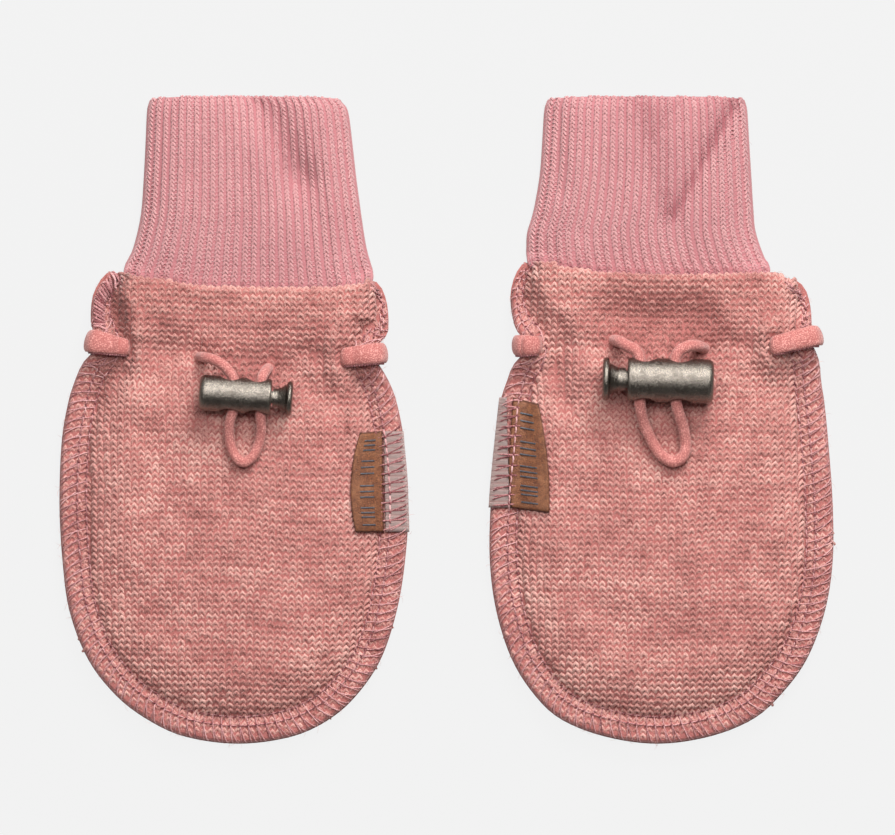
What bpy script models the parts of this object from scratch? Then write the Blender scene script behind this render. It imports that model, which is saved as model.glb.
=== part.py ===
"""A pair of baby mittens, laid flat side by side with the cuffs away from the viewer.

Each mitten is a front and a back panel of felted knit, joined by an outside overlock seam round
the hand, with a doubled rib-knit cuff tucked into the wrist edge.  A round elastic is drawn through
the waist: it shows where it wraps each side seam and where it runs through a sprung cord lock.
The tables are in millimetres: x from a mitten's own centre line, height from its fingertips.
"""

import math
from collections import namedtuple

import bmesh
import bpy
from mathutils import Matrix, Vector
from mathutils.bvhtree import BVHTree

MM = 0.001
GAP = 0.3  # air between two pieces that touch
PAIR_LENGTH = 145.8  # fingertips to cuff mouth

# Cloth thicknesses and heights above the table.
BACK_WALL = 2.1  # back panel where the seam squeezes it
BACK_SWELL = 0.8  # how much thicker the back panel is inside the seam
SWELL_RISE = 4.0  # distance over which it thickens
SEAM_TOP = 4.6  # top of the two sewn layers
PANEL_WALL = 2.8
PUFF = 3.6  # rise of the front panel from the seam
PUFF_POWER = 2.2  # how early that rise is done
CROWN = 0.7  # further rise to the middle of the panel
CROWN_RISE = 16.0
WRIST_CROWN = 1.6  # rise over the tucked cuff instead of the crown
BODY_RISE = 12.0  # distance over which the panel puffs up, low on the hand
WRIST_RISE = 3.8  # the same distance at the wrist
WRIST_ZONE = 22.0  # how far below the wrist edge the steeper rise reaches
NEEDLE_GROOVE = 0.7  # depth of the dent along the inner needle line
GROOVE_WIDTH = 1.1
EDGE_ROUND = 0.9  # width over which a cut edge rounds off
EDGE_DROP = 1.0
UNDER_ROUND = 0.3
ROLL = 1.5  # radius of the turned wrist edge
BACK_SHORT = 0.6  # how much lower the back panel's wrist edge lies
UNDER_SHORT = 1.0

# Cuff.
CUFF_WALL = 1.8  # two layers of rib, folded at the mouth
TUCK_WALL = 1.2  # the same, pressed by the wrist seam
TUCK_UNDER = 3.25  # underside of the tucked end, on the back panel
TUCK_TOP = 6.0
CUFF_SLIT = 0.3  # least air between the two walls
RIB_RELIEF = 0.38
RIB_FADE = 3.0  # ribs die away over this distance at the folded sides
CUFF_SIDE = 1.95  # half height of the cuff's folded sides
MOUTH_ARCH = 0.6  # how much further the middle of the mouth reaches than its corners
MOUTH_CORNER = 6  # how straight the mouth runs before it rounds off into its corners
MOUTH_LIP = 0.6  # how far the folded mouth rounds over
ARCH_START = 136.0
CUFF_SIDE_FALL = 9.0  # distance over which the cuff slopes down to its sides
CUFF_SIDE_POWER = 0.7

# Elastic.
BAND_WIDTH = 4.5
BAND_THICK = 1.9
BAND_SIDES = 10
BAND_ENTRY = 0.86  # width of the band where it enters the cloth, as a share
LOOP_LIFT = 3.6  # how far the elastic lifts the seam that it wraps
LOOP_SPREAD = 6.0
LIFT_START = 1.4  # the lift dies away from here past the entry
LIFT_END = 5.0
LOOP_CLEAR = 0.35
LOOP_PROBE = 0.35  # radius within which the band clears the cloth
PROBE_SHARE = 0.36  # the same is done this far across the band's width
LOOP_BELOW = 0.1

# Label and ribbon.
LABEL_CLEAR = 0.4
LABEL_THICK = 1.1
RIBBON_CLEAR = 0.35
RIBBON_THICK = 0.7
RIBBON_START = 0.35  # gap between the tab and the ribbon
EDGE_HOLD = 1.6  # a piece past the seam's edge keeps the height it has this far inside
REACH_ROUND = 0.7

# Cord lock.
CLOSED_END = 1.8
BARREL_STEPS = 28
PLUNGER_STEPS = 24
HOLE_STEPS = 20
MOUTH_ROUND = 0.45
NOSE_ROUND = ((0.0, 1.1), (0.35, 0.35), (1.2, 0.0))  # in from the side, in from the closed end
DISC_ROUND = 0.3
NECK_FLARE = 1.0
NECK_FLARE_LENGTH = 2.1
PLUNGER_TAIL = 1.0  # metal past the last slot
SLOT_SIDE = 0.3

# How finely the forms are drawn.
OUTLINE_STEPS = 8

RAYS_TOTAL = 46
CLOSE_RAYS = 3.0  # distance between rays beside the wrist and waist
CLOSE_LENGTH = 30.0
OUTER_SHARES = (0.3, 0.62, 1.0)  # from the end of the puff to the middle
RISE_SHARES = (0.22, 0.55, 1.0)  # up the puff, on the outside
SEAM_SHARE = 0.45  # between the rounded edge and the needle line
FOLD_START = 0.6  # folds begin this share of the seam's width inwards
CUFF_BOTTOM_POINTS = 7
WELD = 0.004
SLIVER = 0.002
RIB_PROFILE = ((0.0, 0.0), (0.3, 1.0), (0.7, 1.0))  # place across one rib, share of its relief
WRIST_TURN = ((0.72, 0.32), (1.0, 1.0))  # turned edge: forwards and down, in rolls
SIDE_BEND = ((0.62, 0.85), (1.0, 0.2))  # cuff's folded side: outwards, share of the way up
SIDE_BEND_LOW = (0.72, 0.25)
ON_LOOP = (1.0, 0.81, 0.6, 0.37, 0.16)  # places on the front, as shares of the way in from the edge
UNDER_LOOP = (0.16, 0.56, 0.95)
FLAT_STATIONS = (0.9, 8.6, 14.6)  # rows of points on the underside, inwards from the edge
BEND_TOP = ((-0.25, 0.12), (-1.15, 0.5))  # elastic's bend: inwards, share of the way down
BEND_LOW = ((-1.15, 0.5), (-0.25, 0.12))

BodyRow = namedtuple("BodyRow", "height left right band_left band_right")
WristPoint = namedtuple("WristPoint", "x height")
CuffRow = namedtuple("CuffRow", "height left right loft")
TuckRow = namedtuple("TuckRow", "above_wrist inset flare under top")
Fold = namedtuple("Fold", "x0 y0 x1 y1 width0 width1 depth0 depth1 sharpness")
SideLoop = namedtuple("SideLoop", "side outer outer_height entry entry_height")
Lock = namedtuple(
    "Lock",
    "x y turn length radius bore neck neck_length disc disc_width holes hole_radius travel",
)
RoutePoint = namedtuple("RoutePoint", "x y rise")
Label = namedtuple("Label", "height outer inner ribbon slant")
Mitten = namedtuple(
    "Mitten",
    "name centre spine pole body wrist cuff flare ribs body_folds cuff_folds loops lock cord_radius "
    "route label",
)

# The cuff's lower end, the same on both mittens: a row for each ring round it.
TUCK = (
    TuckRow(-3.4, 4.6, 0.0, TUCK_UNDER, TUCK_TOP),
    TuckRow(-0.9, 2.2, 0.0, TUCK_UNDER, TUCK_TOP),
    TuckRow(0.5, 0.5, 1.0, 2.6, TUCK_TOP),
    TuckRow(1.6, 0.0, 0.75, 0.5, 6.1),
    TuckRow(3.2, 0.0, 0.3, 0.0, 6.3),
)

LEFT = Mitten(
    name="left",
    centre=-47.85,
    spine=0.8,
    pole=40.0,
    body=(
        BodyRow(106.4, -28.6, 32.0, 3.0, 1.6),
        BodyRow(104.6, -30.2, 33.4, 3.4, 2.0),
        BodyRow(100.8, -31.9, 34.5, 4.0, 2.6),
        BodyRow(95.2, -32.2, 34.8, 4.6, 3.6),
        BodyRow(92.8, -31.5, 34.1, 5.0, 4.0),
        BodyRow(90.6, -31.2, 32.5, 5.2, 4.4),
        BodyRow(88.4, -31.6, 32.0, 5.5, 4.8),
        BodyRow(86.4, -33.5, 32.1, 5.7, 5.2),
        BodyRow(84.4, -34.7, 33.3, 5.8, 5.4),
        BodyRow(81.5, -35.9, 34.9, 5.9, 5.7),
        BodyRow(77.0, -37.3, 36.6, 6.1, 6.0),
        BodyRow(68.0, -38.8, 38.3, 6.1, 6.1),
        BodyRow(54.0, -39.3, 39.3, 6.1, 6.1),
        BodyRow(41.0, -38.6, 38.5, 6.1, 6.1),
        BodyRow(29.7, -37.0, 36.6, 6.1, 6.1),
        BodyRow(18.9, -32.8, 33.0, 6.1, 6.1),
        BodyRow(10.8, -26.5, 27.5, 6.1, 6.1),
        BodyRow(5.4, -19.4, 21.3, 6.1, 6.1),
        BodyRow(1.6, -11.0, 13.0, 6.1, 6.1),
    ),
    wrist=(
        WristPoint(-28.6, 106.6),
        WristPoint(-24.7, 106.0),
        WristPoint(-17.4, 104.9),
        WristPoint(-5.3, 103.2),
        WristPoint(10.9, 102.9),
        WristPoint(21.9, 102.9),
        WristPoint(28.9, 103.8),
        WristPoint(32.0, 106.4),
    ),
    cuff=(
        CuffRow(107.5, -23.4, 30.5, 6.4),
        CuffRow(112.0, -22.6, 29.8, 6.9),
        CuffRow(119.0, -21.0, 28.7, 7.2),
        CuffRow(128.0, -20.3, 27.5, 7.2),
        CuffRow(136.0, -19.9, 26.6, 7.1),
        CuffRow(142.4, -19.6, 25.7, 6.6),
        CuffRow(144.6, -19.1, 24.2, 5.9),
    ),
    flare=(1.6, 0.0),
    ribs=26,
    body_folds=(
        Fold(-28.2, 104.0, -25.4, 88.5, 1.7, 2.2, -2.6, -3.0, 2),
        Fold(-25.0, 84.5, -31.5, 76.5, 2.2, 1.6, -1.6, -1.6, 2),
        Fold(-24.0, 89.6, -9.0, 88.0, 2.4, 3.2, -1.0, -1.0, 2),
        Fold(-6.0, 96.0, -15.5, 84.0, 4.5, 5.0, -1.2, -1.2, 2),
        Fold(0.0, 86.5, 8.0, 86.0, 4.0, 3.5, -1.2, -1.2, 2),
        Fold(10.0, 88.0, 24.0, 87.4, 3.0, 2.4, -0.9, -0.9, 2),
        Fold(12.5, 84.0, 22.0, 76.0, 2.6, 3.0, -1.1, -1.1, 2),
        Fold(14.0, 99.0, 26.0, 92.5, 5.0, 3.0, 0.5, 0.5, 2),
        Fold(-23.0, 72.0, -14.0, 64.0, 3.5, 4.0, -0.5, -0.5, 2),
        Fold(-27.0, 36.0, -17.0, 27.0, 4.0, 6.0, -0.8, -0.8, 2),
        Fold(4.0, 45.0, 14.0, 60.0, 8.0, 8.0, 0.5, 0.5, 2),
    ),
    cuff_folds=(
        Fold(5.5, 146.0, 14.5, 126.0, 4.6, 4.0, -1.9, -1.9, 2),
        Fold(14.5, 126.0, 21.0, 112.0, 4.0, 5.0, -1.0, -1.0, 2),
        Fold(-14.0, 146.0, -10.0, 128.0, 4.0, 5.0, -0.4, -0.4, 2),
    ),
    loops=(SideLoop(-1, -33.6, 90.7, -24.2, 89.3), SideLoop(1, 34.7, 88.0, 25.0, 87.1)),
    lock=Lock(
        x=0.45,
        y=78.55,
        turn=-3.9,
        length=16.2,
        radius=4.05,
        bore=2.35,
        neck=2.05,
        neck_length=3.5,
        disc=3.9,
        disc_width=1.3,
        holes=(-1.15, 4.75),
        hole_radius=2.5,
        travel=1.2,
    ),
    cord_radius=1.2,
    route=(
        RoutePoint(-7.6, 87.1, 0.05),
        RoutePoint(-6.2, 86.9, 0.5),
        RoutePoint(-4.3, 86.4, 0.86),
        RoutePoint(-1.8, 84.8, 1.0),
        RoutePoint(0.1, 82.0, 1.0),
        RoutePoint(0.3, 78.5, 1.0),
        RoutePoint(0.1, 75.4, 1.0),
        RoutePoint(-0.7, 72.9, 0.78),
        RoutePoint(-0.95, 69.9, 0.3),
        RoutePoint(-0.5, 66.9, 0.0),
        RoutePoint(0.6, 64.6, 0.0),
        RoutePoint(2.3, 63.4, 0.0),
        RoutePoint(4.2, 64.6, 0.0),
        RoutePoint(5.6, 67.4, 0.0),
        RoutePoint(6.2, 70.4, 0.35),
        RoutePoint(6.15, 73.0, 0.82),
        RoutePoint(6.1, 75.4, 1.0),
        RoutePoint(6.2, 78.1, 1.0),
        RoutePoint(6.25, 80.6, 1.0),
        RoutePoint(6.5, 82.5, 0.9),
        RoutePoint(7.2, 83.8, 0.45),
        RoutePoint(7.7, 84.5, 0.05),
    ),
    label=(
        Label(70.4, 33.4, 28.4, 38.2, -0.4),
        Label(65.0, 33.5, 27.0, 38.6, -0.3),
        Label(58.2, 33.6, 26.3, 39.1, -0.2),
        Label(52.2, 33.7, 26.6, 39.4, -0.1),
        Label(47.7, 33.8, 27.4, 39.5, 0.0),
    ),
)

RIGHT = Mitten(
    name="right",
    centre=48.35,
    spine=-0.8,
    pole=40.0,
    body=(
        BodyRow(108.3, -31.3, 29.4, 1.6, 2.6),
        BodyRow(105.6, -33.0, 31.0, 2.2, 3.2),
        BodyRow(101.0, -34.0, 32.7, 2.8, 3.8),
        BodyRow(95.6, -33.4, 33.8, 3.6, 4.6),
        BodyRow(93.2, -32.5, 33.8, 4.0, 4.9),
        BodyRow(91.2, -31.2, 33.8, 4.4, 5.2),
        BodyRow(89.4, -31.0, 34.2, 4.8, 5.5),
        BodyRow(87.6, -31.4, 35.1, 5.2, 5.7),
        BodyRow(85.0, -33.5, 35.7, 5.5, 5.9),
        BodyRow(81.5, -34.8, 36.0, 5.8, 6.0),
        BodyRow(77.0, -36.2, 36.7, 6.0, 6.1),
        BodyRow(68.0, -37.1, 37.6, 6.1, 6.1),
        BodyRow(54.0, -38.4, 38.6, 6.1, 6.1),
        BodyRow(41.0, -38.6, 38.6, 6.1, 6.1),
        BodyRow(29.7, -37.1, 36.8, 6.1, 6.1),
        BodyRow(18.9, -33.6, 32.7, 6.1, 6.1),
        BodyRow(10.8, -28.4, 26.7, 6.1, 6.1),
        BodyRow(5.4, -22.4, 20.4, 6.1, 6.1),
        BodyRow(1.6, -12.6, 10.8, 6.1, 6.1),
    ),
    wrist=(
        WristPoint(-31.3, 108.6),
        WristPoint(-25.4, 108.7),
        WristPoint(-20.5, 107.4),
        WristPoint(-13.5, 106.6),
        WristPoint(-2.5, 106.1),
        WristPoint(8.3, 106.0),
        WristPoint(19.4, 106.4),
        WristPoint(25.5, 106.2),
        WristPoint(29.4, 104.8),
    ),
    cuff=(
        CuffRow(111.5, -30.4, 22.5, 6.6),
        CuffRow(115.2, -30.2, 21.3, 6.9),
        CuffRow(120.0, -28.8, 20.8, 7.3),
        CuffRow(128.0, -27.4, 20.3, 7.5),
        CuffRow(136.0, -26.8, 19.8, 7.5),
        CuffRow(142.4, -26.4, 19.4, 7.0),
        CuffRow(144.6, -25.8, 18.9, 6.2),
    ),
    flare=(0.0, 2.6),
    ribs=25,
    body_folds=(
        Fold(-10.0, 96.6, 8.0, 96.6, 5.0, 5.0, -2.4, -2.4, 2),
        Fold(-4.0, 91.0, 5.0, 90.5, 5.5, 5.5, -1.4, -1.4, 2),
        Fold(-27.0, 93.5, -21.5, 76.0, 1.8, 3.0, -1.5, -1.5, 2),
        Fold(-30.5, 104.0, -27.5, 95.0, 2.0, 2.0, -1.0, -1.0, 2),
        Fold(-22.0, 96.0, -17.0, 84.0, 3.0, 3.5, 0.8, 0.8, 2),
        Fold(-26.0, 89.6, -14.0, 89.6, 2.4, 3.0, -0.9, -0.9, 2),
        Fold(12.0, 89.6, 25.0, 90.0, 3.0, 2.4, -0.9, -0.9, 2),
        Fold(14.0, 85.0, 24.0, 80.0, 3.0, 3.5, -0.6, -0.6, 2),
        Fold(-20.0, 34.0, -8.0, 26.0, 6.0, 6.0, -0.6, -0.6, 2),
        Fold(18.0, 26.0, 27.0, 36.0, 4.0, 4.0, -0.5, -0.5, 2),
        Fold(6.0, 38.0, 9.0, 58.0, 8.0, 8.0, 0.5, 0.5, 2),
    ),
    cuff_folds=(
        Fold(3.2, 147.5, 1.8, 118.0, 13.0, 2.6, -3.4, -0.6, 4),
        Fold(-23.6, 146.0, -23.0, 124.0, 1.3, 1.6, -0.5, -0.5, 2),
        Fold(-12.0, 130.0, -18.0, 116.0, 3.0, 3.5, -0.4, -0.4, 2),
    ),
    loops=(SideLoop(-1, -33.7, 89.7, -28.0, 89.7), SideLoop(1, 36.3, 91.9, 25.3, 89.7)),
    lock=Lock(
        x=1.9,
        y=81.75,
        turn=178.55,
        length=19.3,
        radius=4.95,
        bore=2.9,
        neck=2.6,
        neck_length=4.15,
        disc=4.85,
        disc_width=1.5,
        holes=(-2.05, 5.85),
        hole_radius=2.75,
        travel=1.5,
    ),
    cord_radius=1.35,
    route=(
        RoutePoint(-10.6, 90.8, 0.05),
        RoutePoint(-9.6, 90.5, 0.5),
        RoutePoint(-8.1, 89.7, 0.86),
        RoutePoint(-5.7, 88.3, 1.0),
        RoutePoint(-4.95, 85.6, 1.0),
        RoutePoint(-5.05, 81.9, 1.0),
        RoutePoint(-5.1, 78.4, 1.0),
        RoutePoint(-4.8, 75.4, 0.8),
        RoutePoint(-4.0, 72.1, 0.3),
        RoutePoint(-2.3, 68.3, 0.0),
        RoutePoint(-0.3, 65.2, 0.0),
        RoutePoint(2.5, 63.5, 0.0),
        RoutePoint(4.9, 65.0, 0.0),
        RoutePoint(5.3, 68.2, 0.0),
        RoutePoint(4.6, 71.8, 0.35),
        RoutePoint(3.5, 75.2, 0.82),
        RoutePoint(2.95, 78.4, 1.0),
        RoutePoint(2.85, 81.7, 1.0),
        RoutePoint(2.8, 85.6, 1.0),
        RoutePoint(3.7, 88.2, 1.0),
        RoutePoint(6.0, 89.5, 0.9),
        RoutePoint(8.1, 89.5, 0.5),
        RoutePoint(9.5, 89.0, 0.05),
    ),
    label=(
        Label(78.0, -33.4, -27.6, -36.5, -1.5),
        Label(69.9, -33.3, -26.2, -37.4, -1.4),
        Label(63.0, -33.1, -25.4, -38.1, -1.3),
        Label(57.6, -32.9, -25.2, -38.6, -1.2),
        Label(53.2, -32.6, -25.2, -38.9, -1.1),
    ),
)


# ---------------------------------------------------------------- curves and heights


def mix(a, b, share):
    return a + (b - a) * share


def ease(value):
    value = min(1.0, max(0.0, value))
    return value * value * (3.0 - 2.0 * value)


def spline(points, per_span):
    """Points on a smooth curve through the given tuples, per_span for each span."""
    vectors = [Vector(p) for p in points]
    padded = [2 * vectors[0] - vectors[1], *vectors, 2 * vectors[-1] - vectors[-2]]
    curve = []
    for a, b, c, d in zip(padded, padded[1:], padded[2:], padded[3:]):
        for step in range(per_span):
            t = step / per_span
            curve.append(
                0.5
                * (
                    2 * b
                    + (c - a) * t
                    + (2 * a - 5 * b + 4 * c - d) * t * t
                    + (3 * b - a - 3 * c + d) * t * t * t
                )
            )
    curve.append(vectors[-1])
    return curve


def evenly(curve, spacings):
    """Points at the given distances along a curve of many short spans."""
    lengths = [0.0]
    for a, b in zip(curve, curve[1:]):
        lengths.append(lengths[-1] + (b.xy - a.xy).length)
    picked = []
    span = 0
    for distance in spacings:
        while span < len(curve) - 2 and lengths[span + 1] < distance:
            span += 1
        share = (distance - lengths[span]) / max(lengths[span + 1] - lengths[span], 1e-9)
        picked.append(curve[span].lerp(curve[span + 1], min(1.0, max(0.0, share))))
    return picked, lengths[-1]


def along_table(rows, x, key, value):
    """A value read from a table by an eased blend between its two nearest rows."""
    if x <= key(rows[0]):
        return value(rows[0])
    for low, high in zip(rows, rows[1:]):
        if x <= key(high):
            return mix(value(low), value(high), ease((x - key(low)) / (key(high) - key(low))))
    return value(rows[-1])


def fold_depth(folds, x, y):
    """The rise or fall that the listed folds give at a place: depths and half widths in mm."""
    total = 0.0
    for fold in folds:
        run = Vector((fold.x1 - fold.x0, fold.y1 - fold.y0))
        away = Vector((x - fold.x0, y - fold.y0))
        share = min(1.0, max(0.0, away.dot(run) / run.length_squared))
        width = mix(fold.width0, fold.width1, share)
        distance = (away - run * share).length / width
        total += mix(fold.depth0, fold.depth1, share) * math.exp(-(distance**fold.sharpness))
    return total


def loop_edge(loop):
    """Where the seam's edge lies inside a wrapped elastic."""
    return loop.outer - loop.side * (BAND_THICK + LOOP_CLEAR)


def loop_reach(loop):
    """How far a wrapped elastic runs over the cloth, from the seam's edge to its entry."""
    return abs(loop_edge(loop) - loop.entry)


class Form:
    """The heights of one mitten's cloth, worked out from its tables."""

    def __init__(self, mitten):
        self.mitten = mitten
        down = [(row.left, row.height, row.band_left) for row in mitten.body]
        up = [(row.right, row.height, row.band_right) for row in reversed(mitten.body)]
        tip = (mix(mitten.body[-1].left, mitten.body[-1].right, 0.5), 0.0, mitten.body[-1].band_left)
        self.outline = spline([*down, tip, *up], OUTLINE_STEPS)

    def edge(self, x, y):
        """Distance inwards from the seam's edge, and the seam's width there."""
        best = (1e9, 0.0)
        for a, b in zip(self.outline, self.outline[1:]):
            run = b.xy - a.xy
            share = min(1.0, max(0.0, (Vector((x, y)) - a.xy).dot(run) / run.length_squared))
            gap = (Vector((x, y)) - a.xy - run * share).length
            if gap < best[0]:
                best = (gap, mix(a.z, b.z, share))
        return best

    def edge_x(self, side, height, reach):
        """The outermost x of the seam on one side, within reach of a height."""
        near = [p for p in self.outline if p.x * side > 0 and abs(p.y - height) < reach + 0.5]
        return side * max(p.x * side for p in near)

    def wrist(self, x):
        return along_table(self.mitten.wrist, x, lambda p: p.x, lambda p: p.height)

    def lift(self, x, y, inwards):
        """How far the wrapped elastic lifts the seam."""
        total = 0.0
        for loop in self.mitten.loops:
            if loop.side * x > 0:
                reach = loop_reach(loop)
                middle = mix(loop.outer_height, loop.entry_height, min(1.0, inwards / reach))
                near = math.exp(-(((y - middle) / LOOP_SPREAD) ** 2))
                total += LOOP_LIFT * near * (1 - ease((inwards - reach - LIFT_START) / LIFT_END))
        return total

    def front(self, x, y):
        """Top of the front panel."""
        inwards, band = self.edge(x, y)
        low = ease((self.wrist(x) - y) / WRIST_ZONE)
        rise = mix(WRIST_RISE, BODY_RISE, low)
        share = min(1.0, max(0.0, (inwards - band) / rise))
        puff = PUFF * (1 - (1 - share) ** PUFF_POWER)
        middle = CROWN * ease((inwards - band - rise) / CROWN_RISE)
        crown = mix(WRIST_CROWN, middle, low) * ease(share)
        groove = NEEDLE_GROOVE * math.exp(-(((inwards - band) / GROOVE_WIDTH) ** 2))
        rounding = EDGE_DROP * max(0.0, 1 - inwards / EDGE_ROUND) ** 2
        past_seam = ease((inwards - band * FOLD_START) / band)
        folds = fold_depth(self.mitten.body_folds, x, y) * past_seam
        height = SEAM_TOP + puff + crown + folds - groove - rounding
        height = max(height, SEAM_TOP - EDGE_DROP - GAP)
        return height + self.lift(x, y, inwards)

    def back_top(self, x, y):
        inwards, band = self.edge(x, y)
        swell = BACK_SWELL * ease((inwards - band) / SWELL_RISE)
        return BACK_WALL + swell + self.lift(x, y, inwards)

    def front_inside(self, x, y):
        """The front panel's inner face, never lower than the back panel that it lies on."""
        return max(self.back_top(x, y) + GAP, self.front(x, y) - PANEL_WALL)

    def underside(self, x, y):
        inwards, _ = self.edge(x, y)
        return self.lift(x, y, inwards) + UNDER_ROUND * max(0.0, 1 - inwards / EDGE_ROUND)

    def cuff_top(self, x, y, ring):
        """Top of the cuff, sloping down to its folded sides and dented by its folds."""
        slope = ease(min(x - ring["left"], ring["right"] - x) / CUFF_SIDE_FALL) ** CUFF_SIDE_POWER
        height = mix(2 * CUFF_SIDE, ring["loft"], slope)
        height += fold_depth(self.mitten.cuff_folds, x, y)
        return max(height, ring["under"] + 2 * CUFF_WALL + CUFF_SLIT)


# ---------------------------------------------------------------- mesh helpers


def add_quads(mesh, first, second):
    """Faces between two rows of the same number of points."""
    for a, b, c, d in zip(first, first[1:], second[1:], second):
        mesh.faces.new((a, b, c, d))


def zip_rims(mesh, first, second):
    """Triangles between two rows of points that run side by side, whatever their numbers."""

    def shares(row):
        lengths = [0.0]
        for a, b in zip(row, row[1:]):
            lengths.append(lengths[-1] + (b.co - a.co).length)
        return [length / lengths[-1] for length in lengths]

    along_first, along_second = shares(first), shares(second)
    i, j = 0, 0
    while i < len(first) - 1 or j < len(second) - 1:
        step_first = j == len(second) - 1 or (
            i < len(first) - 1 and along_first[i + 1] <= along_second[j + 1]
        )
        if step_first:
            mesh.faces.new((first[i], first[i + 1], second[j]))
            i += 1
        else:
            mesh.faces.new((first[i], second[j + 1], second[j]))
            j += 1


def finish_mesh(mesh, name, collection, material, centre):
    """Turns a bmesh in millimetres into an object in metres, placed on the mitten's centre line."""
    bmesh.ops.remove_doubles(mesh, verts=mesh.verts, dist=WELD)
    bmesh.ops.dissolve_degenerate(mesh, edges=mesh.edges, dist=SLIVER)
    bmesh.ops.triangulate(mesh, faces=mesh.faces)
    bmesh.ops.recalc_face_normals(mesh, faces=mesh.faces)
    shift = Matrix.Translation((centre, -PAIR_LENGTH / 2, 0.0))
    bmesh.ops.transform(mesh, matrix=Matrix.Scale(MM, 4) @ shift, verts=mesh.verts)
    data = bpy.data.meshes.new(name)
    mesh.to_mesh(data)
    mesh.free()
    data.shade_smooth()
    data.materials.append(material)
    piece = bpy.data.objects.new(name, data)
    collection.objects.link(piece)
    return piece


def principled(name, colour, roughness, metallic=0.0):
    material = bpy.data.materials.new(name)
    material.use_nodes = True
    shader = material.node_tree.nodes["Principled BSDF"]
    shader.inputs["Base Color"].default_value = (*colour, 1.0)
    shader.inputs["Roughness"].default_value = roughness
    shader.inputs["Metallic"].default_value = metallic
    return material


def turned(name, profile, collection, material, steps):
    """A solid turned about its own Z axis from (radius, place) points, down the outer side."""
    data = bpy.data.meshes.new(name)
    points = [(radius * MM, 0.0, place * MM) for radius, place in profile]
    data.from_pydata(points, [(i, i + 1) for i in range(len(points) - 1)], [])
    data.materials.append(material)
    piece = bpy.data.objects.new(name, data)
    collection.objects.link(piece)
    screw = piece.modifiers.new("turn", "SCREW")
    screw.steps = screw.render_steps = steps
    screw.use_merge_vertices = True
    screw.merge_threshold = 0.00001
    screw.use_smooth_shade = True
    return piece


# ---------------------------------------------------------------- panels


def ray_distances(total):
    """Places of the rays round the seam: closer together beside the wrist and waist."""
    places = [CLOSE_RAYS * i for i in range(int(CLOSE_LENGTH / CLOSE_RAYS))]
    middle = total - 2 * CLOSE_LENGTH
    count = RAYS_TOTAL - 2 * len(places)
    between = [CLOSE_LENGTH + middle * i / count for i in range(count + 1)]
    return [*places, *between, *(total - p for p in reversed(places))]


def panel_grid(form, stations, height, top_shift):
    """Rows of points from the seam's edge to the middle, one row for each ray round the seam.

    A ray and its mirror ray end at the same point of the middle line, or at its lower end.
    stations gives the distances inwards for a ray; top_shift moves the wrist ray down the hand.
    """
    mitten = form.mitten
    _, total = evenly(form.outline, [0.0])
    rim, _ = evenly(form.outline, ray_distances(total))
    levels = [max(mix(a.y, b.y, 0.5), mitten.pole) for a, b in zip(rim, reversed(rim))]
    grid = []
    for index, (edge, level) in enumerate(zip(rim, levels)):
        corner = rim[0] if index < len(rim) / 2 else rim[-1]
        foot = Vector((mitten.spine, level))
        reach = (foot - edge.xy).length
        follow = 1 - ease((levels[0] - level) / WRIST_ZONE)
        row = []
        for inwards in stations(edge.z, reach, form, edge):
            share = inwards / reach
            place = edge.xy.lerp(foot, share)
            straight = mix(corner.y, levels[0], share)
            y = place.y + (form.wrist(place.x) - top_shift - straight) * follow
            row.append(Vector((place.x, y, height(place.x, y))))
        grid.append(row)
    return grid


def outer_stations(band, reach, form, edge):
    low = ease((form.wrist(edge.x) - edge.y) / WRIST_ZONE)
    rise = mix(WRIST_RISE, BODY_RISE, low)
    puffed = band + rise
    near = [0.0, EDGE_ROUND, mix(EDGE_ROUND, band, SEAM_SHARE), band]
    near += [band + share * rise for share in RISE_SHARES]
    return near + [mix(puffed, reach, share) for share in OUTER_SHARES]


def inner_stations(band, reach, form, edge):
    low = ease((form.wrist(edge.x) - edge.y) / WRIST_ZONE)
    puffed = band + mix(WRIST_RISE, BODY_RISE, low)
    return [0.0, band, mix(band, puffed, SEAM_SHARE), puffed, mix(puffed, reach, 0.5), reach]


def under_stations(band, reach, form, edge):
    return [0.0, *FLAT_STATIONS, reach]


def front_panel(form, collection, material):
    outer = panel_grid(form, outer_stations, form.front, ROLL)
    inner = panel_grid(form, inner_stations, form.front_inside, ROLL)
    mesh = bmesh.new()

    def turned_edge(row, up, down):
        drop = min(1.0, max(0.15, (row.z - SEAM_TOP) / PUFF))
        return row + Vector((0.0, ROLL * up, -ROLL * down * drop))

    starts = [[turned_edge(p, *turn) for p in outer[0]] for turn in reversed(WRIST_TURN)]
    ends = [[turned_edge(p, *turn) for p in outer[-1]] for turn in WRIST_TURN]
    top = [[mesh.verts.new(p) for p in row] for row in [*starts, *outer, *ends]]
    under = [[mesh.verts.new(p) for p in row] for row in inner]
    for skin in (top, under):
        for first, second in zip(skin, skin[1:]):
            add_quads(mesh, first, second)
    zip_rims(mesh, [row[0] for row in top], [row[0] for row in under])
    zip_rims(mesh, top[0], under[0])
    zip_rims(mesh, top[-1], under[-1])
    name = form.mitten.name + "_front_panel"
    return finish_mesh(mesh, name, collection, material, form.mitten.centre)


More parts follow.
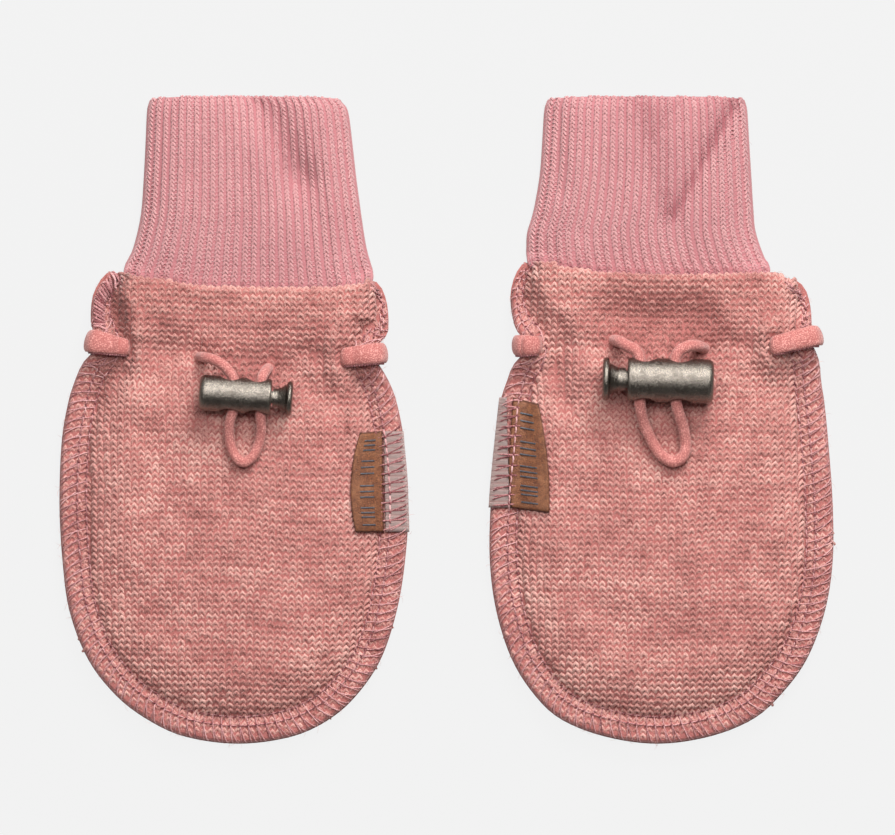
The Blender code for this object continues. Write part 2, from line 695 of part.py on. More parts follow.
def back_panel(form, collection, material):
    top_rows = panel_grid(form, inner_stations, form.back_top, BACK_SHORT)
    under_rows = panel_grid(form, under_stations, form.underside, UNDER_SHORT)
    mesh = bmesh.new()
    top = [[mesh.verts.new(p) for p in row] for row in top_rows]
    under = [[mesh.verts.new(p) for p in row] for row in under_rows]
    for skin in (top, under):
        for first, second in zip(skin, skin[1:]):
            add_quads(mesh, first, second)
    zip_rims(mesh, [row[0] for row in top], [row[0] for row in under])
    zip_rims(mesh, top[0], under[0])
    zip_rims(mesh, top[-1], under[-1])
    name = form.mitten.name + "_back_panel"
    return finish_mesh(mesh, name, collection, material, form.mitten.centre)


# ---------------------------------------------------------------- cuff


def cuff_rings(form):
    """One dictionary of sizes for each ring, from the tucked end up to the mouth."""
    mitten = form.mitten
    low = mitten.cuff[0]
    rings = []
    for row in TUCK:
        rings.append(
            {
                "follow": 1.0,
                "y": row.above_wrist,
                "left": low.left + row.inset - row.flare * mitten.flare[0],
                "right": low.right - row.inset + row.flare * mitten.flare[1],
                "under": row.under,
                "loft": row.top,
                "wall": TUCK_WALL if row.under == TUCK_UNDER else CUFF_WALL,
                "ribbed": row.above_wrist > 0,
            }
        )
    for row in mitten.cuff[1:]:
        rings.append(
            {
                "follow": 0.0,
                "y": row.height,
                "left": row.left,
                "right": row.right,
                "under": 0.0,
                "loft": row.loft,
                "wall": CUFF_WALL,
                "ribbed": True,
            }
        )
    return rings


def ring_place(form, ring, x):
    """How far up a ring lies at x: low rings follow the wrist edge, high ones the mouth's arch."""
    if ring["follow"]:
        return form.wrist(x) + ring["y"]
    middle = mix(ring["left"], ring["right"], 0.5)
    half = (ring["right"] - ring["left"]) / 2
    arched = ease((ring["y"] - ARCH_START) / (PAIR_LENGTH - ARCH_START))
    return ring["y"] + arched * MOUTH_ARCH * (1 - abs((x - middle) / half) ** MOUTH_CORNER)


def cuff_ring(form, ring, inset, ribbed, grow=0.0):
    """Points round one ring: over the top from left to right, then back underneath."""
    left, right = ring["left"] + inset, ring["right"] - inset
    floor = ring["under"] + inset
    tucked = ring["under"] > CUFF_SIDE

    def top(x):
        if tucked:
            return ring["loft"] - inset
        return form.cuff_top(x, ring_place(form, ring, x), ring) - inset

    def place(x, z):
        return Vector((x, ring_place(form, ring, x) + grow, z))

    side = ((ring["loft"] - ring["under"]) / 2 if tucked else CUFF_SIDE) - inset
    ribs = form.mitten.ribs
    profile = RIB_PROFILE if ribbed else RIB_PROFILE[:1]
    shares = [(rib + start) / ribs for rib in range(ribs) for start, _ in profile] + [1.0]
    reliefs = [relief for _ in range(ribs) for _, relief in profile] + [0.0]
    points = []
    for share, relief in zip(shares, reliefs):
        x = mix(left + side, right - side, share)
        depth = 0.0
        if ribbed and ring["ribbed"]:
            depth = RIB_RELIEF * (1 - relief) * ease(min(x - left, right - x) / RIB_FADE)
        points.append(place(x, top(x) - depth))
    bends = []
    for edge, way in ((right, 1), (left, -1)):
        middle = floor + side
        crest = top(edge - way * side)
        bend = [(out, mix(middle, crest, up)) for out, up in SIDE_BEND]
        bend.append((SIDE_BEND_LOW[0], mix(floor, middle, SIDE_BEND_LOW[1])))
        bends.append([place(edge - way * side * (1 - out), z) for out, z in bend])
    points += bends[0]
    for step in range(CUFF_BOTTOM_POINTS):
        points.append(place(mix(right - side, left + side, step / (CUFF_BOTTOM_POINTS - 1)), floor))
    points += reversed(bends[1])
    return points


def cuff(form, collection, material):
    """The doubled rib tube: ribs on its upper outer face over a plain inside."""
    mesh = bmesh.new()
    rings = cuff_rings(form)
    mouth = rings[-1]

    def ring_verts(ring, inset, ribbed, grow=0.0):
        return [mesh.verts.new(p) for p in cuff_ring(form, ring, inset, ribbed, grow)]

    outer = [ring_verts(ring, 0.0, True) for ring in rings]
    inner = [ring_verts(ring, ring["wall"], False) for ring in rings]
    lip = ring_verts(mouth, mouth["wall"] / 2, False, MOUTH_LIP)
    for skin in (outer, inner):
        for first, second in zip(skin, skin[1:]):
            add_quads(mesh, [*first, first[0]], [*second, second[0]])
    zip_rims(mesh, [*outer[0], outer[0][0]], [*inner[0], inner[0][0]])
    zip_rims(mesh, [*outer[-1], outer[-1][0]], [*lip, lip[0]])
    add_quads(mesh, [*lip, lip[0]], [*inner[-1], inner[-1][0]])
    return finish_mesh(mesh, form.mitten.name + "_cuff", collection, material, form.mitten.centre)


# ---------------------------------------------------------------- pieces on the cloth


class Lay:
    """Reads how high a finished cloth piece is at a place, in millimetres."""

    def __init__(self, piece, centre):
        mesh = piece.data
        self.tree = BVHTree.FromPolygons(
            [v.co for v in mesh.vertices], [tuple(p.vertices) for p in mesh.polygons]
        )
        self.centre = centre

    def point(self, x, y):
        eye = Vector(((x + self.centre) * MM, (y - PAIR_LENGTH / 2) * MM, 1.0))
        hit = self.tree.ray_cast(eye, Vector((0, 0, -1)))[0]
        return hit.z / MM if hit else 0.0

    def high(self, x, y, radius):
        """The highest cloth within radius of a place."""
        spots = [(0, 0), (radius, 0), (-radius, 0), (0, radius), (0, -radius)]
        return max(self.point(x + dx, y + dy) for dx, dy in spots)


def side_loop(form, loop, lay, collection, material):
    """A flat stretch of elastic that wraps the side seam, from front entry to back entry."""
    edge_x, reach = loop_edge(loop), loop_reach(loop)
    half = BAND_THICK / 2

    def place(inwards, z):
        share = min(1.0, max(0.0, inwards / reach))
        y = mix(loop.outer_height, loop.entry_height, share)
        return Vector((edge_x - loop.side * inwards, y, z))

    def above(inwards):
        spot = place(inwards, 0.0)
        across = BAND_WIDTH * PROBE_SHARE
        return max(lay.high(spot.x, spot.y + off * across, LOOP_PROBE) for off in (-1, 0, 1))

    over = [reach * share for share in ON_LOOP]
    route = [place(inwards, above(inwards) + LOOP_CLEAR + half) for inwards in over]
    top, low = route[-1].z, half + LOOP_BELOW
    middle = mix(low, top, 0.5)
    route += [place(inwards, mix(top, middle, share)) for inwards, share in BEND_TOP]
    route.append(place(-LOOP_CLEAR - half, middle))
    route += [place(inwards, mix(low, middle, share)) for inwards, share in BEND_LOW]
    route += [place(reach * share, low) for share in UNDER_LOOP]
    name = form.mitten.name + ("_side_loop_right" if loop.side > 0 else "_side_loop_left")
    return sweep(name, route, collection, material, form.mitten.centre)


def sweep(name, route, collection, material, centre):
    """A band with an oval section carried along a route, narrower where it enters the cloth."""
    mesh = bmesh.new()
    rings = []
    for index, place in enumerate(route):
        ahead = (route[min(index + 1, len(route) - 1)] - route[max(index - 1, 0)]).normalized()
        across = Vector((0, 1, 0))
        across = (across - ahead * across.dot(ahead)).normalized()
        up = ahead.cross(across)
        width = BAND_WIDTH * (BAND_ENTRY if index in (0, len(route) - 1) else 1.0)
        ring = []
        for side in range(BAND_SIDES):
            angle = 2 * math.pi * side / BAND_SIDES
            offset = across * math.cos(angle) * width / 2 + up * math.sin(angle) * BAND_THICK / 2
            ring.append(mesh.verts.new(place + offset))
        rings.append(ring)
    for first, second in zip(rings, rings[1:]):
        add_quads(mesh, [*first, first[0]], [*second, second[0]])
    mesh.faces.new(rings[0])
    mesh.faces.new(reversed(rings[-1]))
    return finish_mesh(mesh, name, collection, material, centre)


def slab(form, name, grid, lay, clear, thick, collection, material):
    """A thin piece that lies on the cloth: grid holds rows of (x, height) places."""
    mesh = bmesh.new()
    tops, unders = [], []
    for row in grid:
        lows = []
        for x, y in row:
            side = math.copysign(1, x)
            held = side * min(side * x, side * form.edge_x(side, y, 1.0) - EDGE_HOLD)
            lows.append(lay.high(held, y, REACH_ROUND) + clear)
        unders.append([mesh.verts.new((x, y, low)) for (x, y), low in zip(row, lows)])
        tops.append([mesh.verts.new((x, y, low + thick)) for (x, y), low in zip(row, lows)])
    for skin in (tops, unders):
        for first, second in zip(skin, skin[1:]):
            add_quads(mesh, first, second)
    for end in (0, -1):
        add_quads(mesh, tops[end], unders[end])
        add_quads(mesh, [row[end] for row in tops], [row[end] for row in unders])
    return finish_mesh(mesh, form.mitten.name + name, collection, material, form.mitten.centre)


def labels(form, lay, collection, leather, ribbon):
    """The leather tab that lies on the panel and the woven ribbon that covers the seam."""
    rows = form.mitten.label
    side = 1 if rows[0].outer > 0 else -1
    tab_rows = spline([(row.height, row.outer, row.inner, row.slant) for row in rows], 2)
    tab = [[(mix(row.y, row.z, s / 3), row.x + row.w * s / 3) for s in range(4)] for row in tab_rows]
    slab(form, "_label", tab, lay, LABEL_CLEAR, LABEL_THICK, collection, leather)
    start = side * RIBBON_START
    band_rows = spline([(row.height, row.outer + start, row.ribbon) for row in rows], 2)
    band = [[(mix(row.y, row.z, step / 2), row.x) for step in range(3)] for row in band_rows]
    slab(form, "_label_ribbon", band, lay, RIBBON_CLEAR, RIBBON_THICK, collection, ribbon)


# ---------------------------------------------------------------- cord lock and drawcord


def cord_lock(form, lay, collection, cutters, materials):
    """Barrel and sprung plunger on one axis; returns the axis height above the table."""
    mitten, lock = form.mitten, form.mitten.lock
    along = Vector((math.cos(math.radians(lock.turn)), math.sin(math.radians(lock.turn)), 0))
    reach = lock.length / 2 + lock.neck_length + lock.disc_width
    spots = [mix(-lock.length / 2, reach, i / 12) for i in range(13)]
    cloth = max(lay.high(lock.x + along.x * s, lock.y + along.y * s, 1.0) for s in spots)
    axis = cloth + GAP + max(lock.radius, lock.disc)

    holder = bpy.data.objects.new(mitten.name + "_lock_axis", None)
    collection.objects.link(holder)
    place = Vector((lock.x + mitten.centre, lock.y - PAIR_LENGTH / 2, axis)) * MM
    turn = Matrix.Rotation(math.radians(lock.turn), 4, "Z") @ Matrix.Rotation(math.radians(90), 4, "Y")
    holder.matrix_world = Matrix.Translation(place) @ turn

    half, outside, metal = lock.length / 2, lock.radius, materials["metal"]
    barrel_profile = (
        (0.0, -half + CLOSED_END),
        (lock.bore, -half + CLOSED_END),
        (lock.bore, half),
        (outside - MOUTH_ROUND, half),
        (outside, half - MOUTH_ROUND),
        *((outside - inwards, -half + up) for inwards, up in NOSE_ROUND),
        (0.0, -half),
    )
    barrel = turned(mitten.name + "_lock_barrel", barrel_profile, collection, metal, BARREL_STEPS)
    barrel.parent = holder
    for number, hole in enumerate(lock.holes):
        name = f"{mitten.name}_hole_cutter_{number}"
        cutter = cylinder(name, lock.hole_radius, 3 * outside, cutters)
        cutter.parent = holder
        cutter.location = (0, 0, hole * MM)
        cutter.rotation_euler = (math.radians(90), 0, 0)
        cut(barrel, cutter)

    disc_start = half + lock.neck_length
    disc_end = disc_start + lock.disc_width
    inner_end = slots_of(form)[0][0] - PLUNGER_TAIL
    plunger_profile = (
        (0.0, disc_end),
        (lock.disc - DISC_ROUND, disc_end),
        (lock.disc, disc_end - DISC_ROUND),
        (lock.disc, disc_start + DISC_ROUND),
        (lock.disc - DISC_ROUND, disc_start),
        (lock.neck + NECK_FLARE, disc_start - DISC_ROUND / 2),
        (lock.neck, disc_start - NECK_FLARE_LENGTH),
        (lock.neck, inner_end + DISC_ROUND),
        (lock.neck - DISC_ROUND, inner_end),
        (0.0, inner_end),
    )
    plunger = turned(mitten.name + "_lock_plunger", plunger_profile, collection, metal, PLUNGER_STEPS)
    plunger.parent = holder
    for number, (start, end) in enumerate(slots_of(form)):
        name = f"{mitten.name}_slot_cutter_{number}"
        width = 2 * (mitten.cord_radius + SLOT_SIDE)
        cutter = block(name, width, 3 * outside, end - start, cutters)
        cutter.parent = holder
        cutter.location = (0, 0, mix(start, end, 0.5) * MM)
        cut(plunger, cutter)
    return axis


def slots_of(form):
    """Start and end of each slot through the plunger, so that it clears both cords as it moves."""
    mitten, lock = form.mitten, form.mitten.lock
    slots = []
    for hole in lock.holes:
        cord = hole + lock.hole_radius - mitten.cord_radius - GAP
        start = cord - mitten.cord_radius - GAP
        slots.append((start, start + 2 * mitten.cord_radius + 2 * GAP + lock.travel))
    return slots


def cylinder(name, radius, length, collection):
    mesh = bmesh.new()
    bmesh.ops.create_cone(
        mesh,
        cap_ends=True,
        segments=HOLE_STEPS,
        radius1=radius * MM,
        radius2=radius * MM,
        depth=length * MM,
    )
    return cutter_object(name, mesh, collection)


def block(name, x, y, z, collection):
    mesh = bmesh.new()
    bmesh.ops.create_cube(mesh, size=1.0)
    bmesh.ops.scale(mesh, vec=Vector((x, y, z)) * MM, verts=mesh.verts)
    return cutter_object(name, mesh, collection)


def cutter_object(name, mesh, collection):
    data = bpy.data.meshes.new(name)
    mesh.to_mesh(data)
    mesh.free()
    piece = bpy.data.objects.new(name, data)
    piece.hide_render = True
    piece.display_type = "WIRE"
    collection.objects.link(piece)
    return piece


def cut(piece, cutter):
    boolean = piece.modifiers.new(cutter.name, "BOOLEAN")
    boolean.operation = "DIFFERENCE"
    boolean.object = cutter


def drawcord(form, lay, axis, collection, material):
    """The elastic from the cloth through the lock, round the loop and back into the cloth."""
    mitten = form.mitten
    radius = mitten.cord_radius
    places = []
    for point in mitten.route:
        low = lay.high(point.x, point.y, radius) + GAP
        low += 0.0 if point in (mitten.route[0], mitten.route[-1]) else radius
        z = mix(low, axis, point.rise)
        places.append(Vector((point.x, point.y, z)))
    smooth = spline(places, 2)
    data = bpy.data.curves.new(mitten.name + "_drawcord", "CURVE")
    data.dimensions = "3D"
    data.bevel_depth = radius * MM
    data.bevel_resolution = 2
    data.use_fill_caps = True
    line = data.splines.new("POLY")
    line.points.add(len(smooth) - 1)
    for control, place in zip(line.points, smooth):
        x, y, z = place.x + mitten.centre, place.y - PAIR_LENGTH / 2, place.z
        control.co = (x * MM, y * MM, z * MM, 1.0)
    data.materials.append(material)
    cord = bpy.data.objects.new(mitten.name + "_drawcord", data)
    collection.objects.link(cord)
    return cord


# ---------------------------------------------------------------- the pair


def build():
    for old in list(bpy.data.objects):
        bpy.data.objects.remove(old)
    scene = bpy.context.scene
    parts = bpy.data.collections.new("baby_mittens")
    cutters = bpy.data.collections.new("cutters")
    scene.collection.children.link(parts)
    scene.collection.children.link(cutters)
    materials = {
        "knit": principled("felted_knit", (0.54, 0.25, 0.21), 0.95),
        "rib": principled("rib_knit", (0.68, 0.32, 0.32), 0.9),
        "elastic": principled("elastic", (0.66, 0.28, 0.25), 0.85),
        "leather": principled("leather", (0.22, 0.09, 0.06), 0.6),
        "ribbon": principled("ribbon", (0.41, 0.22, 0.2), 0.8),
        "metal": principled("antique_silver", (0.5, 0.47, 0.43), 0.3, 1.0),
    }
    for mitten in (LEFT, RIGHT):
        form = Form(mitten)
        front = front_panel(form, parts, materials["knit"])
        back_panel(form, parts, materials["knit"])
        cuff(form, parts, materials["rib"])
        lay = Lay(front, mitten.centre)
        for loop in mitten.loops:
            side_loop(form, loop, lay, parts, materials["elastic"])
        labels(form, lay, parts, materials["leather"], materials["ribbon"])
        axis = cord_lock(form, lay, parts, cutters, materials)
        drawcord(form, lay, axis, parts, materials["elastic"])


build()
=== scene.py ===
"""Dresses a pair of flat-laid baby mittens: felted knit, rib cuffs, overlock threads, waist elastic,
antique silver cord locks, leather tabs and woven ribbons.

The tables are in millimetres: x from a mitten's own centre line, height from its fingertips.
"""

import math
from collections import namedtuple

import bmesh
import bpy
import numpy as np
from mathutils import Matrix, Vector


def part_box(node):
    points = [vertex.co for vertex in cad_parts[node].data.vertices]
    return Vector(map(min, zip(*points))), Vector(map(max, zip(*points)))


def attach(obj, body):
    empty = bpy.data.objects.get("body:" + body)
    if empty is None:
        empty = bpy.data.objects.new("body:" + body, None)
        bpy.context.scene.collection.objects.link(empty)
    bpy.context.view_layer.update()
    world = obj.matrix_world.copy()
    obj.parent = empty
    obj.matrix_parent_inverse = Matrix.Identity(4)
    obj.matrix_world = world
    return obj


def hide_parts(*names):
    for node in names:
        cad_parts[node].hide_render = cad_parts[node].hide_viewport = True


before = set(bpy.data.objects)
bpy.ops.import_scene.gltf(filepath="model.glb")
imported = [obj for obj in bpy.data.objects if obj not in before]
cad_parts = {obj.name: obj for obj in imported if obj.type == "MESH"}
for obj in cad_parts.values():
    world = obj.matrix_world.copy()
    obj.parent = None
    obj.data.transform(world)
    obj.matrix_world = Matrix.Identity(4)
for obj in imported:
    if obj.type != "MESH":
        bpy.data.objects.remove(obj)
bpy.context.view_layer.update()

MM = 0.001
GAP = 0.3
PAIR_LENGTH = 145.8

# Cloth heights, as in the solids.
BACK_WALL, BACK_SWELL, SWELL_RISE = 2.1, 0.8, 4.0
SEAM_TOP, PANEL_WALL = 4.6, 2.8
PUFF, PUFF_POWER, CROWN, CROWN_RISE, WRIST_CROWN = 3.6, 2.2, 0.7, 16.0, 1.6
BODY_RISE, WRIST_RISE, WRIST_ZONE = 12.0, 3.8, 22.0
NEEDLE_GROOVE, GROOVE_WIDTH = 0.5, 0.9
EDGE_ROUND, EDGE_DROP = 0.9, 1.0
POLE = 40.0  # height where the rays of a panel's fingertip meet
ROLL = 1.5
CUFF_SIDE, CUFF_SIDE_FALL, CUFF_SIDE_POWER = 1.95, 9.0, 0.7
MOUTH_ARCH, MOUTH_CORNER, ARCH_START = 0.6, 6, 136.0
MOUTH_LIPS = ((0.15, 0.36), (0.5, 0.5), (0.85, 0.3))  # shares from the outer to the inner wall, and lengths
BAND_WIDTH, BAND_THICK, LOOP_CLEAR = 4.5, 1.9, 0.35
LOOP_LIFT, LOOP_SPREAD, LIFT_START, LIFT_END = 3.6, 6.0, 1.4, 5.0

# Knit and sewing.
WALE = 1.55  # width of one knit stitch on the hand
COURSE = 1.32  # height of one row
YARN = 0.38  # radius of the hand's yarn
UNDER_YARN = 0.36  # the cloth's ground lies this far under the tops of the stitches
BACK_YARN, BACK_LIFT = 0.31, 0.36  # radius of the back's yarn, and its middle line over the ground's underside
REST = 1.3  # no yarn comes nearer to the surface than this many of its radii
ROLLED_ROWS = 2.1  # length of cloth that turns over at the wrist edge
CUFF_COURSE = 0.93
CUFF_YARN = 0.24
CUFF_CORNER = 0.09  # share of the cuff's width in which its side bends
CUFF_RINGS, RAIL_POINTS = 44, 220
GROUND_WALL = 1.15  # a crease's steep wall is this much wider in the ground, which lies under the strands
SEAM_PITCH = 2.22
NEEDLE_APART = 2.0
THREAD = 0.135
RIBBON_TOP = 0.75  # threads that cross the ribbon and tab are raised this far
TAB_TOP = 1.27
TAPE_EDGE = {1: 0.35, -1: 1.35}  # the ribbon ends this far outside the tab, by the side that it is on

# As in the solids and the joints: how far each plunger slides, in mm.
TRAVEL = {"left": 1.2, "right": 1.5}

# The picture that the camera makes, in pixels and in mm to a pixel.
PICTURE_WIDTH, PIXEL = 895, 0.225

BodyRow = namedtuple("BodyRow", "height left right band_left band_right")
WristPoint = namedtuple("WristPoint", "x height")
CuffRow = namedtuple("CuffRow", "height left right loft")
TuckRow = namedtuple("TuckRow", "above_wrist inset flare under top")
Fold = namedtuple("Fold", "x0 y0 x1 y1 width0 width1 depth0 depth1")
Crease = namedtuple("Crease", "x0 y0 x1 y1 depth0 depth1 soft0 soft1 wall")
SideLoop = namedtuple("SideLoop", "side outer outer_height entry entry_height")
Lock = namedtuple("Lock", "x y turn length radius bore neck neck_length disc disc_width holes hole_radius")
RoutePoint = namedtuple("RoutePoint", "x y rise")
Label = namedtuple("Label", "height outer inner ribbon slant")
# In shade, each row is a band of painted shade: the yarn's tone is lowered there, in hollows and folds where less
# light falls.
Mitten = namedtuple(
    "Mitten",
    "name centre spine body wrist cuff flare ribs body_folds cuff_folds loops lock cord_radius route label "
    "shade crisp creases seed",
)


def table_of(kind, *numbers):
    """Rows of a table from plain tuples of numbers."""
    return tuple(kind(*row) for row in numbers)


TUCK = table_of(
    TuckRow, (-3.4, 4.6, 0.0, 3.25, 6.0), (-1.9, 2.4, 0.0, 3.25, 6.0), (-0.7, 0.6, 1.0, 2.6, 6.0),
    (1.6, 0.0, 0.75, 0.5, 6.1), (3.2, 0.0, 0.3, 0.0, 6.3),
)

LEFT = Mitten(
    name="left",
    centre=-47.85,
    spine=0.8,
    body=table_of(
        BodyRow, (106.4, -28.6, 32.0, 3.0, 0.9), (104.6, -30.2, 33.4, 3.4, 1.0), (100.8, -31.9, 34.5, 4.0, 1.4),
        (95.2, -32.2, 34.8, 4.6, 2.2), (92.8, -31.5, 34.1, 5.0, 3.0), (90.6, -31.2, 32.5, 5.2, 3.8),
        (88.4, -31.6, 32.0, 5.5, 4.8), (86.4, -33.5, 32.1, 5.7, 5.2), (84.4, -34.7, 33.3, 5.8, 5.4),
        (81.5, -35.9, 34.9, 5.9, 5.7), (77.0, -37.3, 36.6, 6.1, 6.0), (68.0, -38.8, 38.3, 6.1, 6.1),
        (54.0, -39.3, 39.3, 6.1, 6.1), (41.0, -38.6, 38.5, 6.1, 6.1), (29.7, -37.0, 36.6, 6.1, 6.1),
        (18.9, -32.8, 33.0, 6.1, 6.1), (10.8, -26.5, 27.5, 6.1, 6.1), (5.4, -19.4, 21.3, 6.1, 6.1),
        (1.6, -11.0, 13.0, 6.1, 6.1),
    ),
    wrist=table_of(
        WristPoint, (-28.6, 106.6), (-24.7, 106.0), (-17.4, 104.9), (-5.3, 103.2), (10.9, 102.9), (21.9, 102.9),
        (28.6, 103.8), (30.6, 105.0), (32.0, 104.6),
    ),
    cuff=table_of(
        CuffRow, (107.5, -23.4, 30.5, 6.4), (112.0, -22.6, 29.8, 6.9), (119.0, -21.0, 28.7, 7.2),
        (128.0, -20.3, 27.5, 7.2), (136.0, -19.9, 26.6, 7.1), (142.4, -19.6, 25.7, 6.6), (144.6, -19.1, 24.2, 5.9),
    ),
    flare=(1.6, 1.1),
    ribs=26,
    body_folds=table_of(
        Fold, (-28.2, 104.0, -25.4, 88.5, 1.7, 2.2, -2.6, -3.0), (-25.0, 84.5, -31.5, 76.5, 2.2, 1.6, -1.6, -1.6),
        (-24.0, 89.6, -9.0, 88.0, 2.4, 3.2, -1.0, -1.0), (-6.0, 96.0, -15.5, 84.0, 4.5, 5.0, -1.2, -1.2),
        (0.0, 86.5, 8.0, 86.0, 4.0, 3.5, -1.2, -1.2), (10.0, 88.0, 24.0, 87.4, 3.0, 2.4, -0.9, -0.9),
        (12.5, 84.0, 22.0, 76.0, 2.6, 3.0, -1.1, -1.1), (14.0, 99.0, 26.0, 92.5, 5.0, 3.0, 0.5, 0.5),
        (-23.0, 72.0, -14.0, 64.0, 3.5, 4.0, -0.5, -0.5), (-27.0, 36.0, -17.0, 27.0, 4.0, 6.0, -0.8, -0.8),
        (4.0, 45.0, 14.0, 60.0, 8.0, 8.0, 0.5, 0.5),
    ),
    cuff_folds=table_of(
        Fold, (6.0, 146.0, 15.0, 127.0, 4.4, 4.0, -2.6, -2.4), (15.0, 127.0, 21.0, 112.0, 3.6, 5.0, -1.1, -0.8),
        (-14.0, 146.0, -10.0, 128.0, 4.0, 5.0, -0.4, -0.4),
    ),
    loops=(SideLoop(-1, -33.6, 90.7, -24.2, 89.3), SideLoop(1, 34.7, 88.0, 25.0, 87.1)),
    lock=Lock(0.45, 78.55, -3.9, 16.2, 4.05, 2.35, 2.05, 3.5, 3.9, 1.3, (-1.15, 4.75), 2.5),
    cord_radius=1.2,
    route=table_of(
        RoutePoint, (-7.6, 87.1, 0.05), (-6.2, 86.9, 0.5), (-4.3, 86.4, 0.86), (-1.8, 84.8, 1.0), (0.1, 82.0, 1.0),
        (0.3, 78.5, 1.0), (0.1, 75.4, 1.0), (-0.7, 72.9, 0.78), (-0.95, 69.9, 0.3), (-0.5, 66.9, 0.0),
        (0.6, 64.6, 0.0), (2.3, 63.4, 0.0), (4.2, 64.6, 0.0), (5.6, 67.4, 0.0), (6.2, 70.4, 0.35),
        (6.15, 73.0, 0.82), (6.1, 75.4, 1.0), (6.2, 78.1, 1.0), (6.25, 80.6, 1.0), (6.5, 82.5, 0.9),
        (7.2, 83.8, 0.45), (7.7, 84.5, 0.05),
    ),
    label=table_of(
        Label, (70.4, 33.4, 28.4, 38.2, -0.4), (65.0, 33.5, 27.0, 38.6, -0.3), (58.2, 33.6, 26.3, 39.1, -0.2),
        (52.2, 33.7, 26.6, 39.4, -0.1), (47.7, 33.8, 27.4, 39.5, 0.0),
    ),
    # Painted shade: darker yarn in the hollow by the left wrist seam, round the lock and in the cuff's trough.
    shade=table_of(
        Fold, (-27.0, 102.5, -25.0, 90.0, 2.6, 3.2, -0.46, -0.46), (-25.5, 85.0, -32.0, 76.0, 3.0, 3.0, -0.2, -0.2),
        (-13.0, 94.0, 10.0, 92.0, 6.0, 5.5, -0.24, -0.2), (-1.0, 85.0, 10.0, 84.5, 3.4, 3.4, -0.24, -0.24),
        (6.6, 146.0, 15.6, 124.0, 3.2, 3.4, -0.26, -0.14),
    ),
    crisp=table_of(
        Fold, (7.0, 146.0, 17.0, 118.0, 9.0, 8.0, 1.0, 0.8), (-17.0, 146.0, -17.0, 128.0, 3.0, 3.0, 0.6, 0.5),
    ),
    creases=(),
    seed=11,
)

